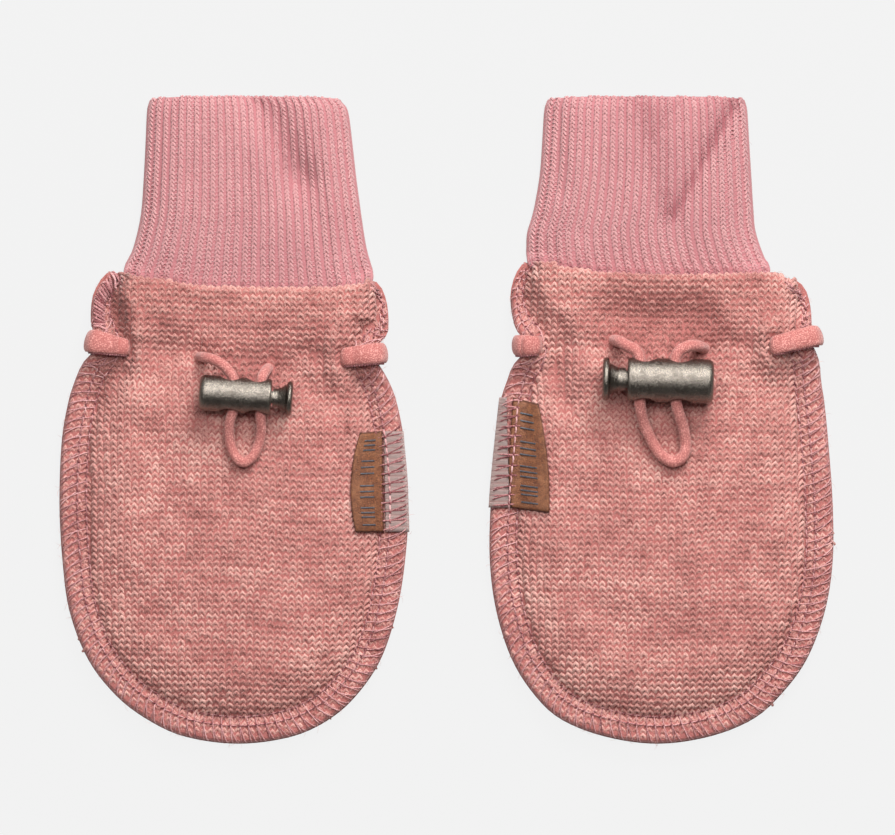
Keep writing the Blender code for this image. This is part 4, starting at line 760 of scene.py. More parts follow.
MATERIALS = {slot: yarn_material(yarn) for slot, yarn in YARNS.items()}
MATERIALS.update(
    elastic=elastic_material(),
    leather=leather_material(),
    mark=worn_material(
        "dark_foil_mark", 0.45, 0.35, (50, 56, 66), (112, 112, 118), 2600.0, 6000.0, 0.5, 0.00004
    ),
    ribbon=ribbon_material(),
    metal=worn_material(
        "antique_silver", 0.4, 1.0, (60, 55, 50), (122, 115, 107), 380.0, 3400.0, 0.5, 0.00012, "edge", (0.39, 0.27)
    ),
    wire=worn_material("bright_wire", 0.2, 1.0, (200, 196, 190), (240, 238, 234), 2000.0, 8000.0, 0.6, 0.0),
)

# ---------------------------------------------------------------- pieces


def dressed(piece, replaced=(), body="mittens"):
    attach(piece, body)
    if replaced:
        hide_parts(*replaced)
    return piece


def linked(name, data):
    made = bpy.data.objects.new(name, data)
    bpy.context.scene.collection.objects.link(made)
    return made


def give(data, name, values):
    """A number for each point, which materials and node trees read by its name."""
    data.attributes.new(name, "FLOAT", "POINT").data.foreach_set("value", np.array(values, np.float32).ravel())


def mesh_piece(name, points, faces, material, tones=None, uvs=None):
    """An object from points in metres and faces; tones and uvs are given for each point."""
    data = bpy.data.meshes.new(name)
    data.from_pydata(np.reshape(points, (-1, 3)).tolist(), [], faces)
    data.materials.append(material)
    if tones is not None:
        give(data, "tone", tones)
    if uvs is not None:
        layer = data.uv_layers.new(name="UVMap")
        corners = np.empty(len(data.loops), int)
        data.loops.foreach_get("vertex_index", corners)
        layer.data.foreach_set("uv", np.asarray(uvs, np.float32)[corners].ravel())
    data.shade_smooth()
    data.update()
    return linked(name, data)


def grid_faces(rows, columns, around=False, start=0):
    """Quads over a grid of points; around joins the last column to the first."""
    row = np.arange(rows - 1)[:, None] * columns + start
    here = np.arange(columns if around else columns - 1)
    after = (here + 1) % columns
    corners = [row + here, row + after, row + columns + after, row + columns + here]
    return np.stack(corners, 2).reshape(-1, 4).tolist()


def face_out(piece):
    """Merges a finished shell's doubles and turns its faces outwards."""
    mesh = bmesh.new()
    mesh.from_mesh(piece.data)
    bmesh.ops.remove_doubles(mesh, verts=mesh.verts, dist=0.000002)
    bmesh.ops.recalc_face_normals(mesh, faces=mesh.faces)
    mesh.to_mesh(piece.data)
    mesh.free()
    return piece


def evaluated_mesh(piece):
    return bpy.data.meshes.new_from_object(piece.evaluated_get(bpy.context.evaluated_depsgraph_get()))


def baked_nodes(name, source, tree, **values):
    """Runs a geometry tree on a mesh, which it uses up, and returns its result as a plain piece."""
    holder = linked(name + "_source", source)
    modifier = holder.modifiers.new("nodes", "NODES")
    modifier.node_group = tree
    for item in tree.interface.items_tree:
        if item.in_out == "INPUT" and item.name in values:
            modifier[item.identifier] = values[item.name]
    data = evaluated_mesh(holder)
    data.name = name
    bpy.data.objects.remove(holder)
    bpy.data.meshes.remove(source)
    return linked(name, data)


def strands(name, lines, thick, tones, radius, sides, unevenness, seed, material):
    """Yarn or thread along lines: (count, points, 3) in metres; tones is for each line, or one for all."""
    count, points = lines.shape[:2]
    data = bpy.data.meshes.new(name + "_lines")
    data.vertices.add(count * points)
    data.vertices.foreach_set("co", lines.astype(np.float32).ravel())
    starts = np.arange(count)[:, None] * points + np.arange(points - 1)[None, :]
    data.edges.add(count * (points - 1))
    data.edges.foreach_set("vertices", np.stack([starts, starts + 1], 2).astype(np.int32).ravel())
    give(data, "thick", np.broadcast_to(thick, (count, points)))
    give(data, "tone", np.broadcast_to(np.reshape(tones, (-1, 1)), (count, points)))
    data.update()
    return baked_nodes(
        name, data, STRANDS, Radius=radius * MM, Sides=sides, Unevenness=unevenness, Seed=seed, Material=material
    )


# ---------------------------------------------------------------- hand: ground cloth


def panel_points(form, height, top_shift, count):
    """Points (ray, station, 3) over a panel, its wrist rays bent to the wrist edge.

    The rays run from the seam's edge to the middle line; a ray and its mirror ray share their foot.
    """
    rim = at_lengths(form.outline, np.linspace(0, form.along[-1], count))
    levels = np.maximum((rim[:, 1] + rim[::-1, 1]) / 2, POLE)[:, None]
    spine = form.mitten.spine
    reach = np.hypot(spine - rim[:, :1], levels - rim[:, 1:2])
    share = np.concatenate([np.clip(STATIONS_OUT / reach, 0, 1), STATIONS_IN + 0 * reach], 1)
    corner = np.where(np.arange(count) < count / 2, rim[0, 1], rim[-1, 1])[:, None]
    follow = 1 - ease((levels[0] - levels) / WRIST_ZONE)
    x = mix(rim[:, :1], spine, share)
    y = mix(rim[:, 1:2], levels, share)
    y = y + (form.wrist(x) - top_shift - mix(corner, levels[0], share)) * follow
    return np.stack([x, y, height(x, y)], 2)


# Where a ray has its points: first at distances in mm from the seam's edge, then at shares of the whole ray.
STATIONS_OUT = np.array((0.0, 0.25, 0.6, 0.9, 1.8, 2.8, 3.8, 4.6, 5.3, 6.0, 6.7, 7.5, 8.6, 9.8))
STATIONS_IN = np.array((0.36, 0.42, 0.48, 0.54, 0.6, 0.67, 0.74, 0.81, 0.88, 0.94, 1.0))
FRONT_RAYS, BACK_RAYS = 150, 130


def shell_of(form, name, top, under, material, tone=0.5):
    """A closed shell between two grids of the same size; the rays at both ends are the wrist edge."""
    rows, columns = top.shape[:2]
    shift = rows * columns
    points = np.stack([top, under]).reshape(-1, 3)
    faces = grid_faces(rows, columns) + grid_faces(rows, columns, start=shift)
    for i in range(rows - 1):
        faces.append((i * columns, (i + 1) * columns, shift + (i + 1) * columns, shift + i * columns))
    for row in (0, rows - 1):
        for j in range(columns - 1):
            a, b = row * columns + j, row * columns + j + 1
            faces.append((a, b, shift + b, shift + a))
    inwards = np.concatenate([form.edge(grid[..., 0], grid[..., 1])[0].ravel() for grid in (top, under)])
    piece = mesh_piece(name, form.to_world(points), faces, material, tones=np.full(len(points), tone))
    outer = np.zeros(len(points))
    outer[:shift] = 0.55 + 0.45 * (inwards[:shift] < 1.5)
    give(piece.data, "fuzz", outer)
    return face_out(piece)


def front_cloth(form):
    flat = panel_points(form, lambda x, y: 0 * x, ROLL, FRONT_RAYS)
    x, up = flat[..., 0], flat[..., 1]
    over = np.array((0.75, 0.5, 0.25))[:, None] * 2.2
    x = np.concatenate([np.repeat(x[:1], 3, 0), x, np.repeat(x[-1:], 3, 0)])
    up = np.concatenate([up[:1] + over, up, up[-1:] + over[::-1]])
    skin, normal = with_normals(form.rolled, x, up)
    inwards, band = form.edge(x, np.minimum(up, form.wrist(x)))
    sunk = UNDER_YARN + 0.2 * np.exp(-(((inwards - band) / 1.5) ** 2))
    top = skin - normal * sunk[..., None]
    under = top.copy()
    under[..., 1] = np.minimum(top[..., 1], form.wrist(x) - 1.2)
    inside = np.maximum(form.back_top(x, under[..., 1]) + GAP, form.front(x, under[..., 1]) - PANEL_WALL)
    under[..., 2] = np.minimum(inside, top[..., 2] - 0.25)
    return shell_of(form, form.mitten.name + "_front_cloth", top, under, MATERIALS["ground"])


def back_cloth(form):
    top = panel_points(form, form.back_top, 0.6, BACK_RAYS)
    under = top.copy()
    under[..., 2] = form.underside(top[..., 0], top[..., 1]) + 0.5
    under[:, 0, 2] = top[:, 0, 2] - 0.9
    return shell_of(form, form.mitten.name + "_back_cloth", under, top, MATERIALS["ground"])


# ---------------------------------------------------------------- hand: knit stitches

# One stitch as its yarn runs: across, up the hand, off the cloth, thickness.
FRONT_STITCH = (
    (-0.62, -0.84, -0.34, 0.85), (-0.45, -0.16, -0.04, 1.05), (0.0, 0.38, 0.06, 1.2), (0.45, -0.16, -0.04, 1.05),
    (0.62, -0.84, -0.34, 0.85),
)
BACK_STITCH = (
    (-0.58, -0.88, -0.16, 0.8), (-0.23, 0.30, 0.0, 1.0), (0.23, 0.30, 0.0, 1.0), (0.58, -0.88, -0.16, 0.8),
)


def stitch_places(form, clear, below_wrist):
    """Centres of the stitches, in columns that waver a little."""
    mitten = form.mitten
    columns, rows = np.meshgrid(np.arange(-27, 28), np.arange(0, 85))
    x = columns.ravel() * WALE + mitten.spine
    y = rows.ravel() * COURSE + 0.7
    drawn = np.exp(-(((y - 87.0) / 9.0) ** 2))
    x = x + 0.55 * lumps(x / 3.0, y, 14.0, mitten.seed + 5) + drawn * 0.5 * lumps(x, y, 6.0, mitten.seed + 6)
    y = y + 0.7 * lumps(x, y / 3.0, 16.0, mitten.seed + 7) + drawn * 0.4 * lumps(x, y, 5.0, mitten.seed + 8)
    inwards = form.edge(x, y)[0]
    foot = form.edge(x, y - 0.9)[0]
    near_wrist = 1.5 * ease((y - form.wrist(x) + 8.0) / 6.0)
    keep = (foot > 0.4) & (inwards > clear + near_wrist) & (y < form.wrist(x) - below_wrist)
    return x[keep], y[keep], rows.ravel()[keep]


def knit(form, name, places, stitch, surface, side, radius, sides, seed, material, tones):
    """Stitches laid on a surface: side is 1 on top of the cloth and -1 under it."""
    inwards, band = form.edge(*places)
    flattened = 0.12 * (1 - ease((inwards - band + 0.5) / 1.0))[:, None]
    x, y = places
    rng = np.random.default_rng(seed)
    count = len(x)
    across, up, off, thick = np.array(stitch).T
    lean = rng.normal(0, 0.15, (count, 1))
    size = 1 + rng.normal(0, 0.09, (count, 1))
    px = x[:, None] + (across[None, :] + up[None, :] * lean) * size + rng.normal(0, 0.08, (count, 1))
    py = y[:, None] + up[None, :] * size + rng.normal(0, 0.11, (count, 1))
    skin, normal = with_normals(surface, px, py)
    sunk = radius - 0.03 + flattened if side > 0 else 0.0
    lift = side * off[None, :] + rng.normal(0, 0.05, (count, 1)) - sunk
    points = skin + normal * lift[..., None]
    points[..., 2] = np.maximum(points[..., 2], REST * radius)
    widths = thick[None, :] * (1 + rng.normal(0, 0.07, (count, 1)))
    return strands(name, form.to_world(points), widths, tones, radius, sides, 0.08, seed, material)


def yarn_tones(mitten, x, y, rows, seed):
    """Shade of each stitch: cloudy patches, streaks along the rows, painted shade from the mitten's shade table, and a
    spread of its own.
    """
    rng = np.random.default_rng(seed)
    streaks = rng.normal(0, 0.04, 90)[rows] + 0.08 * lumps(x / 4.0, y, 2.6, seed + 1)
    clouds = 0.12 * lumps(x, y, 9.0, mitten.seed + 9) + 0.13 * lumps(x, y, 3.6, mitten.seed + 10)
    painted_shade = fold_depth(mitten.shade, x, y)
    return np.clip(0.5 + clouds + streaks + painted_shade + rng.normal(0, 0.09, len(x)), 0.05, 0.98)


def front_knit(form):
    mitten = form.mitten
    x, y, rows = stitch_places(form, 0.7, ROLL - ROLLED_ROWS)
    tones = yarn_tones(mitten, x, y, rows, mitten.seed + 40)
    return knit(
        form, mitten.name + "_front_knit", (x, y), FRONT_STITCH, form.rolled, 1, YARN, 5, mitten.seed,
        MATERIALS["knit"], tones,
    )


def back_knit(form):
    mitten = form.mitten
    x, y, rows = stitch_places(form, 0.75, 1.2)
    tones = yarn_tones(mitten, x, y, rows, mitten.seed + 41)
    return knit(
        form, mitten.name + "_back_knit", (x, y), BACK_STITCH, form.flat_back, -1, BACK_YARN, 3, mitten.seed + 3,
        MATERIALS["knit"], tones,
    )


# ---------------------------------------------------------------- cuff


class Cuff:
    """The section of the folded rib tube at any height, from its tables."""

    def __init__(self, form):
        self.form = form
        self.wall = 1.0
        mitten = form.mitten
        low = mitten.cuff[0]
        rows = []
        for row in TUCK:
            inset = 0.6 * row.inset  # the tucked end fills the hand's corners a little more than the solid does
            left = low.left + inset - row.flare * mitten.flare[0]
            right = low.right - inset + row.flare * mitten.flare[1]
            rows.append((1.0, row.above_wrist, left, right, row.under, row.top))
        rows += [(0.0, r.height, r.left, r.right, 0.0, r.loft) for r in mitten.cuff[1:]]
        self.rows = np.array(rows)

    def coarse(self, share, way):
        """Place (x, y, z) of each coarse ring at a share of its width, on its top or its underside."""
        form = self.form
        follow, level, left, right, under, loft = self.rows.T
        x = mix(left, right, share)
        middle, half = (left + right) / 2, (right - left) / 2
        arched = ease((level - ARCH_START) / (PAIR_LENGTH - ARCH_START))
        arch = arched * MOUTH_ARCH * (1 - abs((x - middle) / half) ** MOUTH_CORNER)
        y = np.where(follow > 0, form.wrist(x) + level, level + arch)
        inner = np.minimum(x - left, right - x)
        slope = ease(inner / CUFF_SIDE_FALL) ** CUFF_SIDE_POWER
        tucked = under > CUFF_SIDE
        side = np.where(tucked, (loft - under) / 2, CUFF_SIDE)
        top = np.where(tucked, loft, mix(2 * CUFF_SIDE, loft, slope))
        centre = under + side
        bend = np.sqrt(np.clip(1 - (np.clip(side - inner, 0, None) / side) ** 2, 0, 1))
        z = centre + (top - centre) * bend if way > 0 else centre - side * bend
        return np.stack([x, y, z], 1)

    def surface(self, shares, levels, way):
        """Points (level, share, 3): levels run from 0 at the tucked end to 1 at the mouth."""
        fine = []
        for share in shares:
            curve = spline(self.coarse(share, way), 8)
            place = np.asarray(levels) * (len(curve) - 1)
            fine.append(np.stack([np.interp(place, np.arange(len(curve)), curve[:, i]) for i in range(3)], 1))
        points = np.stack(fine, 1)
        if way > 0:
            left, right = points[:, :1, 0], points[:, -1:, 0]
            reach = np.minimum(points[..., 0] - left, right - points[..., 0])
            mitten = self.form.mitten
            folds = fold_depth(mitten.cuff_folds, points[..., 0], points[..., 1])
            folds += crease_depth(mitten.creases, points[..., 0], points[..., 1], self.wall)
            past_tuck = ease((points[..., 1] - self.form.wrist(points[..., 0])) / 2.0)
            dented = points[..., 2] + folds * ease(reach / 4.0) * past_tuck
            points[..., 2] = np.where(folds < 0, np.maximum(dented, np.minimum(points[..., 2], 4.1)), dented)
        return points


def cuff_shade(mitten, x, y):
    """Darker yarn in the cuff's hollows, where little light reaches."""
    return fold_depth(mitten.shade, x, y) + 0.12 * crease_depth(mitten.creases, x, y)


def cuff_cloth(form):
    """The tube's ground: an outer and an inner wall, folded over at the mouth."""
    mitten = form.mitten
    cuff = Cuff(form)
    bend = 0.5 - 0.5 * np.cos(np.linspace(0, math.pi, 11))
    low, high = bend * CUFF_CORNER, 1 - bend[::-1] * CUFF_CORNER
    shares = np.concatenate([low, np.linspace(CUFF_CORNER, 1 - CUFF_CORNER, mitten.ribs * 2 + 1)[1:-1], high])
    levels = np.linspace(0, 1, CUFF_RINGS)
    cuff.wall = GROUND_WALL
    top, under = cuff.surface(shares, levels, 1), cuff.surface(shares, levels, -1)
    rib = (shares * mitten.ribs) % 1.0
    valley = 0.22 * (0.5 + 0.5 * np.cos(2 * math.pi * rib)) ** 4
    edge_fade = ease(np.minimum(shares, 1 - shares) / 0.02)
    past_tuck = np.clip(levels * 12 - 0.6, 0, 1)[:, None]
    fade = ease((levels - 0.1) / 0.15)[:, None]
    top[..., 2] -= (CUFF_YARN * 1.4 + valley[None, :] * mix(0.4, 1.0, fade)) * edge_fade * past_tuck
    under[..., 2] += (0.12 + 0.8 * valley[None, :]) * edge_fade * past_tuck
    outer = np.concatenate([top, under[:, -2:0:-1]], 1)
    centre = (outer.min(1, keepdims=True) + outer.max(1, keepdims=True)) / 2
    thickness = np.clip((outer[..., 2].max(1) - outer[..., 2].min(1))[:, None] * 0.24, 0.3, 1.5)
    inner = outer.copy()
    inner[..., 2] = np.where(
        outer[..., 2] > centre[..., 2],
        np.maximum(outer[..., 2] - thickness, centre[..., 2] + 0.1),
        np.minimum(outer[..., 2] + thickness, centre[..., 2] - 0.1),
    )
    side = np.clip(abs(outer[..., 0] - centre[..., 0]) / (outer[..., 0].max(1) - centre[:, 0, 0])[:, None], 0, 1)
    inner[..., 0] = centre[..., 0] + (outer[..., 0] - centre[..., 0]) * (1 - 0.05 * side)
    lips = [mix(outer[-1], inner[-1], share) + (0.0, out, 0.0) for share, out in MOUTH_LIPS]
    rings = np.concatenate([outer, lips, inner[::-1]])
    count, around = rings.shape[:2]
    faces = grid_faces(count, around, around=True)
    faces += [
        (j, (j + 1) % around, (count - 1) * around + (j + 1) % around, (count - 1) * around + j)
        for j in range(around)
    ]
    piece = mesh_piece(
        mitten.name + "_cuff_cloth", form.to_world(rings), faces, MATERIALS["rib_ground"],
        tones=np.clip(0.5 + cuff_shade(mitten, rings[..., 0], rings[..., 1]).ravel(), 0.0, 1.0),
    )
    hairy = np.zeros((count, around))
    hairy[8 : len(levels), : len(shares)] = 0.25
    give(piece.data, "fuzz", hairy)
    return face_out(piece)


# The strands of one rib stitch: across in ribs, up the cuff in mm and off the cloth in mm at three points, a shade
# and a thickness. The two legs of the raised column, and the bar of the sunk column beside it. Their shades are
# painted light and shade: the first leg a little lighter, the sunk bar darker.
RIB_STITCH = (
    (((-0.07, 0.52, -0.08), (0.08, 0.04, -0.02), (0.21, -0.46, -0.1)), 0.05, 1.4),
    (((-0.25, -0.46, -0.12), (-0.15, 0.04, -0.05), (-0.08, 0.46, -0.1)), 0.0, 1.35),
    (((0.33, -0.1, -0.26), (0.5, 0.1, -0.22), (0.67, -0.1, -0.26)), -0.1, 0.9),
)


def cuff_knit(form):
    """Raised and sunk columns of rib stitches, crisper where the cuff is gathered."""
    mitten = form.mitten
    cuff = Cuff(form)
    rng = np.random.default_rng(mitten.seed + 60)
    fine = np.linspace(0, 1, RAIL_POINTS)
    lines, tones, widths = [], [], []
    for rib in range(mitten.ribs):
        shares = (rib + np.array((0.15, 0.5, 0.85))) / mitten.ribs
        rail = cuff.surface(np.concatenate([[0.0], shares, [1.0]]), fine, 1)[:, 1:4]
        over = rail[-1:] + np.array(((0.0, 0.4, -0.1), (0.0, 0.58, -0.5)))[:, None]
        rail = np.concatenate([rail, over])
        along = lengths_along(rail[:, 1], 3)
        steps = np.arange(2.0, along[-1] - 0.1, CUFF_COURSE)
        count = len(steps)
        centre = np.stack([np.interp(steps, along, rail[:, 1, i]) for i in range(3)], -1)
        crisp = np.clip(0.15 + fold_depth(mitten.crisp, centre[:, 0], centre[:, 1]), 0, 1)
        shade = 0.5 + 0.08 * lumps(steps, rib * 2.0 + 0 * steps, 5.0, mitten.seed + 61)
        # Painted shadow: a dark line where the cuff goes under the hand's rolled edge, then painted shade in the
        # cuff's hollows.
        shade = shade - 0.4 * np.exp(-(((centre[:, 1] - form.wrist(centre[:, 0])) / 0.8) ** 2))
        shade = shade + cuff_shade(mitten, centre[:, 0], centre[:, 1])
        for number, (points, tone, stout) in enumerate(RIB_STITCH):
            if number == 2 and rib == mitten.ribs - 1:
                continue
            across, up, off = np.array(points).T
            spots = np.clip(steps[:, None] + up + rng.normal(0, 0.04, (count, 1)), 0, along[-1])
            left, middle, right = (
                np.stack([np.interp(spots, along, rail[:, side, i]) for i in range(3)], -1) for side in range(3)
            )
            sideways = (right - left) / 0.7
            normal = np.stack([-sideways[..., 2], 0 * spots, sideways[..., 0]], -1)
            normal /= np.maximum(np.linalg.norm(normal, axis=-1, keepdims=True), 1e-6)
            sunk = mix(0.02, 0.28, crisp) if number == 2 else 0 * crisp
            lift = off - CUFF_YARN - sunk[:, None] + rng.normal(0, 0.02, (count, 1))
            wide = across + rng.normal(0, 0.02, (count, 1))
            lines.append(middle + sideways * wide[..., None] + normal * lift[..., None])
            # Painted light and shade: where the cuff is gathered, legs and bars are painted with more contrast.
            tones.append(shade + tone * mix(0.7, 2.0, crisp) + rng.normal(0, 0.06, count))
            widths.append(np.full((count, 3), stout) * (0.85, 1.0, 0.85))
    return strands(
        mitten.name + "_cuff_knit", form.to_world(np.concatenate(lines)), np.concatenate(widths),
        np.clip(np.concatenate(tones), 0.05, 0.95), CUFF_YARN, 4, 0.08, mitten.seed, MATERIALS["rib"],
    )


# ---------------------------------------------------------------- overlock seam


def seam_point(form, along, inwards, off=0.0, under=False):
    """A place on the seam: distance along it, inwards from its edge and off the cloth."""
    total = form.along[-1]
    spots = at_lengths(form.rim, np.clip(along, 0, total))
    ahead = at_lengths(form.rim, np.clip(np.asarray(along) + 0.4, 0.4, total))
    behind = at_lengths(form.rim, np.clip(np.asarray(along) - 0.4, 0, total - 0.4))
    run = unit((ahead - behind)[:, :2])
    inner = np.stack([-run[:, 1], run[:, 0]], 1)
    x, up = (spots[:, :2] + inner * (inwards + 0 * along)[:, None]).T
    if under:
        up = np.minimum(up, form.wrist(x) - 1.0)
        return np.stack([x, up, np.maximum(form.underside(x, up) + 0.3 - off, REST * THREAD)], 1)
    up = np.minimum(up, form.wrist(x) - ROLL + ROLLED_ROWS)
    skin, normal = with_normals(form.rolled, x, up)
    placed_at = skin + normal * np.asarray(off)[..., None]
    placed_at[..., 2] += on_ribbon(form, x, up)
    return placed_at


def tape_side(mitten):
    return 1 if mitten.label[0].outer > 0 else -1


def on_ribbon(form, x, y):
    """How far threads are raised where the seam crosses the ribbon and the tab's edge."""
    rows = form.mitten.label
    past = ease((y - rows[-1].height) / 0.5) * ease((rows[0].height - y) / 0.5) * (x * rows[0].outer > 0)
    reach = abs(x) - abs(rows[0].outer)
    on_tab = 1 - ease((reach - TAPE_EDGE[tape_side(form.mitten)] + 0.3) / 0.4)
    return mix(RIBBON_TOP, TAB_TOP, on_tab) * past * ease((reach + 2.6) / 0.5)


def seam_width(form, along):
    return at_lengths(form.rim, np.clip(along, 0, form.along[-1]))[:, 2]


def overlock(form):
    """Two needle lines and sets of looper threads that run out over the seam's edge."""
    mitten = form.mitten
    rng = np.random.default_rng(mitten.seed + 80)
    total = form.along[-1]
    starts = np.arange(2.0, total - 2.4, SEAM_PITCH)
    starts = starts + rng.normal(0, 0.1, len(starts))
    band = seam_width(form, starts)
    place = seam_point(form, starts, band * 0.5)
    taped = on_ribbon(form, place[:, 0], place[:, 1]) > 0.5 * RIBBON_TOP
    felted = 0.05 * ease((34.0 - place[:, 1]) / 16.0)  # at the fingertips the threads sink into the wool
    stout = np.where(taped, 1.35, 1.0)[:, None]
    pieces = []

    def laid(name, rows, thick, tones, radius, sides):
        """rows: for each point of the thread, its place along, inwards and off, and whether it lies under."""
        lines = form.to_world(np.stack([seam_point(form, *row) for row in rows], 1))
        pieces.append(
            strands(mitten.name + name, lines, thick, tones, radius, sides, 0.08, mitten.seed, MATERIALS["thread"])
        )

    outer = np.maximum(band - NEEDLE_APART, band * 0.55)
    half = SEAM_PITCH / 2
    for name, inwards, shift in (("_needle_thread_inner", band, 0.0), ("_needle_thread_outer", outer, half * 0.9)):
        middle = starts + shift
        wander = rng.normal(0, 0.07, len(starts))
        rows = [
            (middle - 0.95, inwards - 0.05, -0.5),
            (middle - 0.6, inwards - 0.03, -0.02 - felted),
            (middle, inwards + 0.04 + wander, 0.05 - felted),
            (middle + 0.6, inwards + 0.03, -0.02 - felted),
            (middle + 0.95, inwards, -0.5),
        ]
        tones = np.clip(np.where(taped, 0.75, 0.5) + rng.normal(0, 0.1, len(starts)), 0, 1)
        laid(name, rows, np.array((0.8, 1.0, 1.0, 1.0, 0.8)) * stout, tones, THREAD * 1.15, 5)
        # Painted shadow in each needle hole: a short, thick piece of thread in its darkest tone.
        rows = [(middle - 1.35, inwards - 0.2, 0.08), (middle - 1.05, inwards + 0.02, 0.12),
                (middle - 0.75, inwards + 0.2, 0.08)]
        laid(name + "_holes", rows, 1.0, 0.0, THREAD * 1.5, 5)

    ahead = seam_point(form, starts + 1.0, band * 0.5)
    narrow = np.clip(band / 5.5, 0.2, 1.0)
    slant = (0.7 + 1.7 * abs(ahead[:, 1] - place[:, 1]) * ~taped) * narrow
    for number, (inner_shift, edge_shift) in enumerate(((0.0, 0.0), (0.28, 1.05))):
        wander = rng.normal(0, 0.25, len(starts))
        sunk = rng.uniform(-0.1, 0.03, len(starts)) - felted
        edge_at = starts + slant + (edge_shift + wander) * narrow
        first = outer * 0.95 if number == 1 else band + 0.05
        rows = [(starts + inner_shift, first, -0.35)]
        for share in (0.08, 0.3, 0.55, 0.8):
            at = mix(starts + inner_shift, edge_at, share**1.2)
            rows.append((at, first * (1 - share), 0.07 + sunk * (1 - abs(2 * share - 1))))
        rows += [(edge_at, 0.2, -0.08), (edge_at + 0.1, 0.1, -0.5)]
        back_at = edge_at + 0.2
        under = ((0.0, 0.1, -0.75), (0.2, 0.5, 0.12), (0.6, band * 0.5, 0.12), (0.9, band, -0.2))
        rows += [(back_at + step, inwards, off, True) for step, inwards, off in under]
        thick = np.full(len(rows), 1.0)
        thick[0] = 0.8
        tones = np.clip(np.where(taped, 0.16, 0.5) + rng.normal(0, 0.14, len(starts)), 0, 1)
        laid(f"_looper_thread_{number}", rows, thick * stout, tones, THREAD, 4)
    if mitten.name == "left":
        rope(laid, rng)
    return pieces


def rope(laid, rng):
    """The loopers bunched along the left wrist seam, which stands on its edge there."""
    starts = np.arange(0.9, 15.5, 0.8)
    starts = starts + rng.normal(0, 0.08, len(starts))
    rows = [(starts - 1.0, 0.35, -0.5), (starts - 0.7, 0.8, 0.05), (starts, 1.9, 0.25), (starts + 0.7, 3.0, 0.05),
            (starts + 1.0, 3.4, -0.6)]
    tones = np.clip(0.26 + rng.normal(0, 0.18, len(starts)), 0, 1)
    laid("_bunched_loopers", rows, (0.7, 1.0, 1.15, 1.0, 0.7), tones, 0.29, 6)


# ---------------------------------------------------------------- elastic

LOOP_RINGS, CORD_RINGS = 110, 190
PLAIT = 1400.0  # repeats of the elastic's plait in a metre
CORD_CLEAR = 0.2  # the drawcord lies this far over the cloth
END_SUNK, END_DEPTH = 1.4, 1.8  # its ends go down by so many radii, and then by so many mm, into the cloth


def tube_piece(name, route, radius_at, sides, material, repeat=1.0, squash=None, across=None):
    """A closed tube along a route in metres.

    radius_at(angle, along) gives its radius in metres, squash(share) its width and height as shares of that.
    """
    route = np.asarray(route)
    count = len(route)
    tangents = unit(np.gradient(route, axis=0))
    frames = []
    across = unit(np.cross(tangents[0], (0, 0, 1.0)) if across is None else np.array(across))
    for tangent in tangents:
        across = unit(across - tangent * (across @ tangent))
        frames.append((across, np.cross(tangent, across)))
    along = lengths_along(route, 3)
    across, up = np.array(frames).transpose(1, 0, 2)[:, :, None]
    turns = np.arange(sides) / sides
    angles = 2 * math.pi * turns
    radius = radius_at(angles, along[:, None])
    wide, high = np.array([squash(share) if squash else (1.0, 1.0) for share in along / along[-1]]).T[:, :, None]
    wide, high = (np.cos(angles) * radius * wide)[..., None], (np.sin(angles) * radius * high)[..., None]
    rings = route[:, None] + across * wide + up * high
    points = np.vstack([rings.reshape(-1, 3), route[:1], route[-1:]])
    uvs = np.stack(np.broadcast_arrays(along[:, None] * repeat, turns), 2).reshape(-1, 2)
    uvs = np.vstack([uvs, (0.0, 0.5), (along[-1] * repeat, 0.5)])
    faces = grid_faces(count, sides, around=True)
    for first, hub, order in ((0, count * sides, -1), ((count - 1) * sides, count * sides + 1, 1)):
        faces += [(first + j, first + (j + 1) % sides, hub)[::order] for j in range(sides)]
    return face_out(mesh_piece(name, points, faces, material, uvs=uvs))


def surface_height(form, x, y):
    return float(form.front(np.array([x]), np.array([y]))[0])


